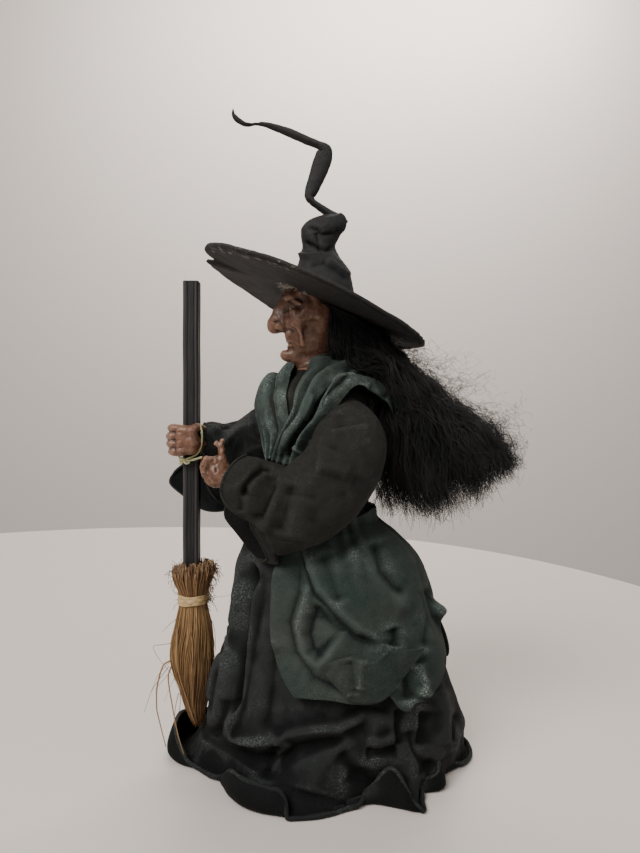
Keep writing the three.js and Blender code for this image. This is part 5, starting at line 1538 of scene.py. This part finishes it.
def bristle_bundle(g):
    steps = 24
    count = 1400
    angle, ring = g.uniform(0, TAU, (count, 1)), np.sqrt(g.uniform(0.16, 1, (count, 1)))
    u, v = ring * np.cos(angle), ring * np.sin(angle)
    t = np.linspace(0, 1, steps)[None, :]
    low = curve([(0, 17), (0.5, 24), (0.85, 36), (1, 60)], g.uniform(0, 1, (count, 1)))
    top = 113.5 + g.normal(0, 2.3, (count, 1)) + 1.5 * u
    z = np.minimum(top, 119) * (1 - t) + low * t
    swirl = 0.5 * smooth(80, 20, z) * np.sin(angle * 2 + 1)
    weave = 0.05 * np.sin(TAU * t * g.uniform(0.5, 2, (count, 1)) + angle)
    uu = u * np.cos(swirl) - v * np.sin(swirl) + weave
    vv = u * np.sin(swirl) + v * np.cos(swirl)
    p = bundle_at(z, uu, vv)
    inside = (np.abs(p[..., 0] - STICK_AT[0]) < 5.2) & (np.abs(p[..., 1] - STICK_AT[1]) < 5.2) & (z > 98)
    p[..., 1] = np.where(inside, STICK_AT[1] + 5.4 * np.where(v < 0, -1, 1), p[..., 1])
    frayed = smooth(104, 118, z)
    p += frayed[..., None] * g.normal(0, 1, (count, 1, 3)) * [0.9, 0.9, 0.2]
    radius = (0.28 - 0.12 * t) * g.uniform(0.55, 1.3, (count, 1))
    tone = g.uniform(0, 1, (count, 1)) * 0.7 + 0.3 * smooth(100, 92, z) * smooth(30, 70, z)
    obj = strands("broom_bristles", p, radius, BRISTLE, attribute=tone)
    finish_piece(obj, "broom", "bristle", "bristle_bundle")


def broom_core():
    """A solid middle, so that no light shows through the bristles."""
    z = np.linspace(20, 112, 60)[:, None]
    a = around(60)
    p = bundle_at(z + 0 * a, 0.8 * np.cos(a) + 0 * z, 0.8 * np.sin(a) + 0 * z)
    p = outward(p)
    verts, faces = capped(p)
    core = new_object("broom_core", verts, faces, BRISTLE, np.full(len(verts), 0.1))
    finish_piece(core, "broom", "bristle")


def short_ends(g):
    """Broken ends that curl off the sides of the bundle's top, most of them on its right."""
    count = 110
    z0 = g.uniform(90, 113, (count, 1))
    side = np.where(g.random((count, 1)) < 0.85, 1.0, -1.0)
    start = bundle_at(z0, side * g.uniform(0.75, 1, (count, 1)), g.uniform(-0.8, 0.8, (count, 1)))
    t = np.linspace(0, 1, 14)[None, :]
    x = side * g.uniform(1.0, 6.0, (count, 1)) * t
    y = g.normal(0, 2, (count, 1)) * t
    z = g.uniform(-7, 5, (count, 1)) * t + 2.5 * np.sin(TAU * t * g.uniform(0.2, 0.7, (count, 1)))
    wave = 0.5 * np.sin(TAU * (2 * t[..., None] + g.uniform(0, 1, (count, 1, 3))))
    p = start + np.stack([x, y, z], axis=-1) + wave
    obj = strands("broom_short_ends", p, 0.17 + 0 * p[..., 0], BRISTLE, attribute=0.05 + 0 * p[..., 0])
    finish_piece(obj, "broom", "bristle")


# Single straws that stand clear of the bundle: route and radius. The thick ones are pale.
LOOSE_STRAWS = (
    (((-91, -12, 60), (-95, -13, 57), (-98.4, -13, 45), (-98.8, -13, 33), (-97.6, -13, 26),
      (-93, -14, 9)), 0.55),
    (((-90, -13, 57), (-91.5, -14, 50), (-88.6, -17, 36), (-84.6, -20, 20), (-80, -24, 9)), 0.5),
    (((-90, -10, 70), (-97, -10, 69), (-101.5, -10, 68), (-99, -10, 62), (-93, -11, 55),
      (-88, -12, 50)), 0.2),
    (((-88, -8, 84), (-92, -8, 81), (-96.5, -8, 76)), 0.2),
    (((-92, -10, 56), (-98, -10, 48), (-103, -9, 40), (-107.5, -8, 27)), 0.22),
    (((-91, -10, 53), (-96, -10, 47), (-101, -9, 41)), 0.15),
    (((-92, -10, 58), (-99, -9, 50), (-104, -8, 38)), 0.15),
    (((-89, -9, 48), (-92, -9, 42), (-95, -9, 34)), 0.15),
    (((-86, -11, 40), (-88, -11, 30), (-88.5, -11, 20)), 0.25),
    (((-85, -12, 44), (-84.5, -13, 34), (-86.5, -14, 24)), 0.22),
    (((-69, -9, 90), (-66, -9, 78), (-64, -8, 66)), 0.22),
    (((-69, -3, 86), (-65.5, -2, 76), (-65, -1, 62)), 0.2),
    (((-70, -6, 96), (-62, -7, 97.5), (-53, -8, 99)), 0.13),
    (((-86, -14, 80), (-85, -19.5, 60), (-80, -17, 40), (-75, -14, 22)), 0.5),
    (((-78, -15, 84), (-76, -18, 66), (-78, -16, 44), (-74, -13, 22)), 0.45),
)


def loose_straws():
    steps = 40
    for k, (points, radius) in enumerate(LOOSE_STRAWS):
        taper = np.linspace(1, 0.55, steps)[None] * radius
        tone = np.full((1, steps), 0.35 if radius < 0.4 else 0.6)
        obj = strands(f"broom_loose_straw_{k + 1}", spline(points, steps)[None], taper, BRISTLE,
                      sides=6, attribute=tone)
        finish_piece(obj, "broom", "bristle")


def bristles():
    g = np.random.default_rng(7)
    bristle_bundle(g)
    broom_core()
    short_ends(g)
    loose_straws()


# The turns of raffia: height as seen, half width, how far out each lies.
RAFFIA_TURNS = ((97.2, 1.35, 0.35), (95.2, 1.2, 0.7), (93.2, 1.5, 0.4))


def binding():
    loops = []
    rows, cols = 13, 120
    a = around(cols)
    t = np.linspace(-1, 1, rows)[:, None]
    n = np.stack([np.cos(a), np.sin(a), 0 * a], axis=-1)
    for k, (z, wide, out) in enumerate(RAFFIA_TURNS):
        zz = z + wide * t + 0.7 * np.sin(a + k) + 0.15 * np.sin(5 * a + k)
        q = bundle_at(zz, 1.06 * np.cos(a) + 0 * t, 1.06 * np.sin(a) + 0 * t)
        q = q + n * (out + 0.45 * np.sqrt(1 - 0.92 * t ** 2) + 0.10 * np.sin(9 * a + 3 * k))[..., None]
        loops.append((face_out(q, True, n + 0 * q), True))
    obj = cloth("broom_binding_raffia", loops, RAFFIA, 0.5, rub_scale=0.2)
    finish_piece(obj, "broom", "raffia", "broom_binding")


# The cord that ties the stick to the right fist: each stretch's name, route, steps and radius.
TIE = (
    ("loop", ((-72.6, -11.5, 203), (-71.3, -12.6, 198), (-71.6, -13.2, 191), (-73.4, -13.4, 186.4),
              (-76.6, -13.0, 184.0), (-80.0, -13.2, 182.6), (-83.6, -12.2, 181.4), (-85.4, -8.0, 181.2),
              (-84.8, 0.0, 182.0), (-80, 2.2, 184), (-74, 2.0, 186), (-71.6, -2.0, 192),
              (-71.4, -8.0, 201), (-72.6, -11.5, 203)), 90, 0.62),
    ("turn", ((-70.4, -18.5, 183.6), (-74, -14.2, 182.6), (-78.6, -13.2, 181.4), (-82.4, -13.0, 180.6),
              (-85.2, -11.4, 179.6), (-85.2, -4, 180), (-80, 1.6, 181), (-73.2, -1, 182)), 60, 0.72),
    ("end_a", ((-83.4, -13.2, 182.4), (-85.2, -14.4, 184.0), (-84.4, -14.6, 185.6)), 20, 0.5),
    ("end_b", ((-83.0, -13.2, 181.6), (-80.6, -14.4, 179.6), (-78.4, -14.2, 180.4)), 20, 0.55),
)


def hand_tie():
    for name, points, steps, radius in TIE:
        twisted = radius * (1 + 0.12 * np.sin(np.linspace(0, 40, steps)))[None]
        obj = strands(f"hand_tie_{name}", spline(points, steps)[None], twisted, CORD,
                      sides=8, attribute=np.full((1, steps), 0.6))
        finish_piece(obj, "figure", "tie_cord", *(["hand_tie"] if name == "loop" else []))
    f = Field((-87, -17, 178), (-79, -9, 186), 0.35)
    f.add(f.ball((-82.9, -13.1, 181.9), (1.7, 1.3, 1.5)), 0.4)
    f.add(f.rod([(-84.4, -13, 182.6), (-81.4, -13.4, 181.2)], 0.9), 0.5)
    knot = new_object("hand_tie_knot", *f.mesh(), CORD)
    finish_piece(knot, "figure", "tie_cord")


STICK_FOOT, STICK_TOP = 100, 291


def stick():
    mat, n = material("ebonised_stick", (0.016, 0.015, 0.016), 0.55, specular=0.3)
    grain = n.noise(160, 6, 0.65, n.stretch(6, 6, 0.25), 0.4)
    colour = n.mix(n.ramp(grain, (0.38, 0.0), (0.68, 1.0)), (0.007, 0.007, 0.008), (0.024, 0.022, 0.022))
    worn = n.ramp(n.noise(60, 4, 0.6, n.stretch(1, 1, 0.2)), (0.62, 0.0), (0.78, 0.5))
    colour = n.mix(worn, colour, (0.06, 0.05, 0.045))
    edge = n.ramp(n.attribute("rub"), (0.1, 0.0), (0.9, 0.7))
    n.colour(n.mix(edge, colour, (0.055, 0.05, 0.05)))
    n.rough(grain, 0.35, 0.6)
    n.bump(n.noise(300, 5, 0.6, n.stretch(5, 5, 0.12)), 0.25, 0.6)
    rows, cols = 150, 96
    a = around(cols)
    z = np.linspace(STICK_FOOT, STICK_TOP, rows)[:, None]
    # A square bar whose corners are planed back to a circle.
    half, corner = 4.75, 6.0
    r = np.minimum(half / np.maximum(np.abs(np.cos(a)), np.abs(np.sin(a))), corner)
    x, y = r * np.cos(a), r * np.sin(a)

    def groove(q, at, depth):
        return depth * np.exp(-((q - at) / 0.34) ** 2)

    on_side = np.abs(np.abs(x) - half) < 0.05
    on_face = np.abs(np.abs(y) - half) < 0.05
    depth = np.where(on_face, groove(x, -1.5, 0.4) + groove(x, 2.4, 0.25), 0)
    depth = depth + np.where(on_side, groove(y, 0.4, 0.55), 0)
    scale = 1 - depth / corner
    p = np.stack([STICK_AT[0] + x * scale + 0 * z, STICK_AT[1] + y * scale + 0 * z, z + 0 * a], axis=-1)
    p[..., 0] += 0.25 * noise(p * [0, 0, 1 / 30])
    p = face_out(p, True, (p - [*STICK_AT, 0]) * [1, 1, 0])
    rub = np.where(r > 0.95 * corner, 0.9, 0.0) + 0 * z
    rub = rub if p[0, 1, 1] > p[0, 0, 1] else rub[:, ::-1]
    verts, faces = capped(p)
    verts[-1, 2] += 0.2  # the top is slightly domed
    obj = new_object("broom_stick_wood", verts, faces, mat, np.append(rub, [0, 0]), smooth_shade=False)
    finish_piece(obj, "broom", "stick_wood", "broom_stick")


# ------------------------------------------------------------------ room, light and camera

def room():
    table_paint, n = material("table_top", (0.71, 0.65, 0.60), 0.38, specular=0.35)
    n.colour(n.mix(n.noise(4, 2), (0.695, 0.638, 0.59), (0.715, 0.658, 0.61)))
    wall_paint, n = material("wall_paint", (0.72, 0.68, 0.64), 0.9)
    n.colour(n.mix(n.noise(2, 2), (0.725, 0.665, 0.61), (0.745, 0.685, 0.63)))
    thick = 0.03
    bpy.ops.mesh.primitive_cylinder_add(
        vertices=256, radius=0.72, depth=thick, location=(-0.28, 0.20, -thick / 2))
    top = bpy.context.object
    top.name = "table"
    top.data.materials.append(table_paint)
    bpy.ops.mesh.primitive_plane_add(size=8, location=(0, 1.9, 0.5), rotation=(math.pi / 2, 0, 0))
    wall = bpy.context.object
    wall.name = "wall"
    wall.data.materials.append(wall_paint)


def area_light(name, at, aim, size, power, colour):
    data = bpy.data.lights.new(name, "AREA")
    data.shape = "RECTANGLE"
    data.size, data.size_y = size
    data.energy = power
    data.color = colour
    obj = bpy.data.objects.new(name, data)
    bpy.context.scene.collection.objects.link(obj)
    obj.location = at
    obj.rotation_euler = (Vector(aim) - Vector(at)).to_track_quat("-Z", "Y").to_euler()


def lights_and_camera():
    world = bpy.data.worlds.new("soft")
    world.use_nodes = True
    sky = world.node_tree.nodes["Background"].inputs
    sky["Color"].default_value = (0.95, 0.93, 0.95, 1)
    sky["Strength"].default_value = 0.32
    bpy.context.scene.world = world
    area_light("window", (-0.8, -1.1, 1.35), (0, 0, 0.15), (1.0, 1.0), 36, (1.0, 0.965, 0.925))
    area_light("wall_wash", (0.2, 1.2, 1.9), (0, 1.9, 0.9), (1.6, 0.4), 44, (1.0, 0.95, 0.90))
    area_light("bounce", (1.2, -0.6, 0.9), (0, 0, 0.2), (1.2, 1.2), 5, (1.0, 0.93, 0.86))
    data = bpy.data.cameras.new("camera")
    data.lens, data.sensor_width = 28.07, 36
    data.dof.use_dof = False
    camera = bpy.data.objects.new("camera", data)
    camera.location = CAMERA_AT * MM
    camera.rotation_euler = (math.pi / 2, 0, 0)
    bpy.context.scene.collection.objects.link(camera)
    bpy.context.scene.camera = camera


# ------------------------------------------------------------------ build

dress_cad_nodes()
skirt()
apron()
bodice()
left_sleeve()
right_sleeve()
shawl()
hat_crown()
hat_brim()
hat_tip()
head()
eyes()
right_hand()
left_hand()
hair()
bristles()
binding()
hand_tie()
stick()
room()
lights_and_camera()
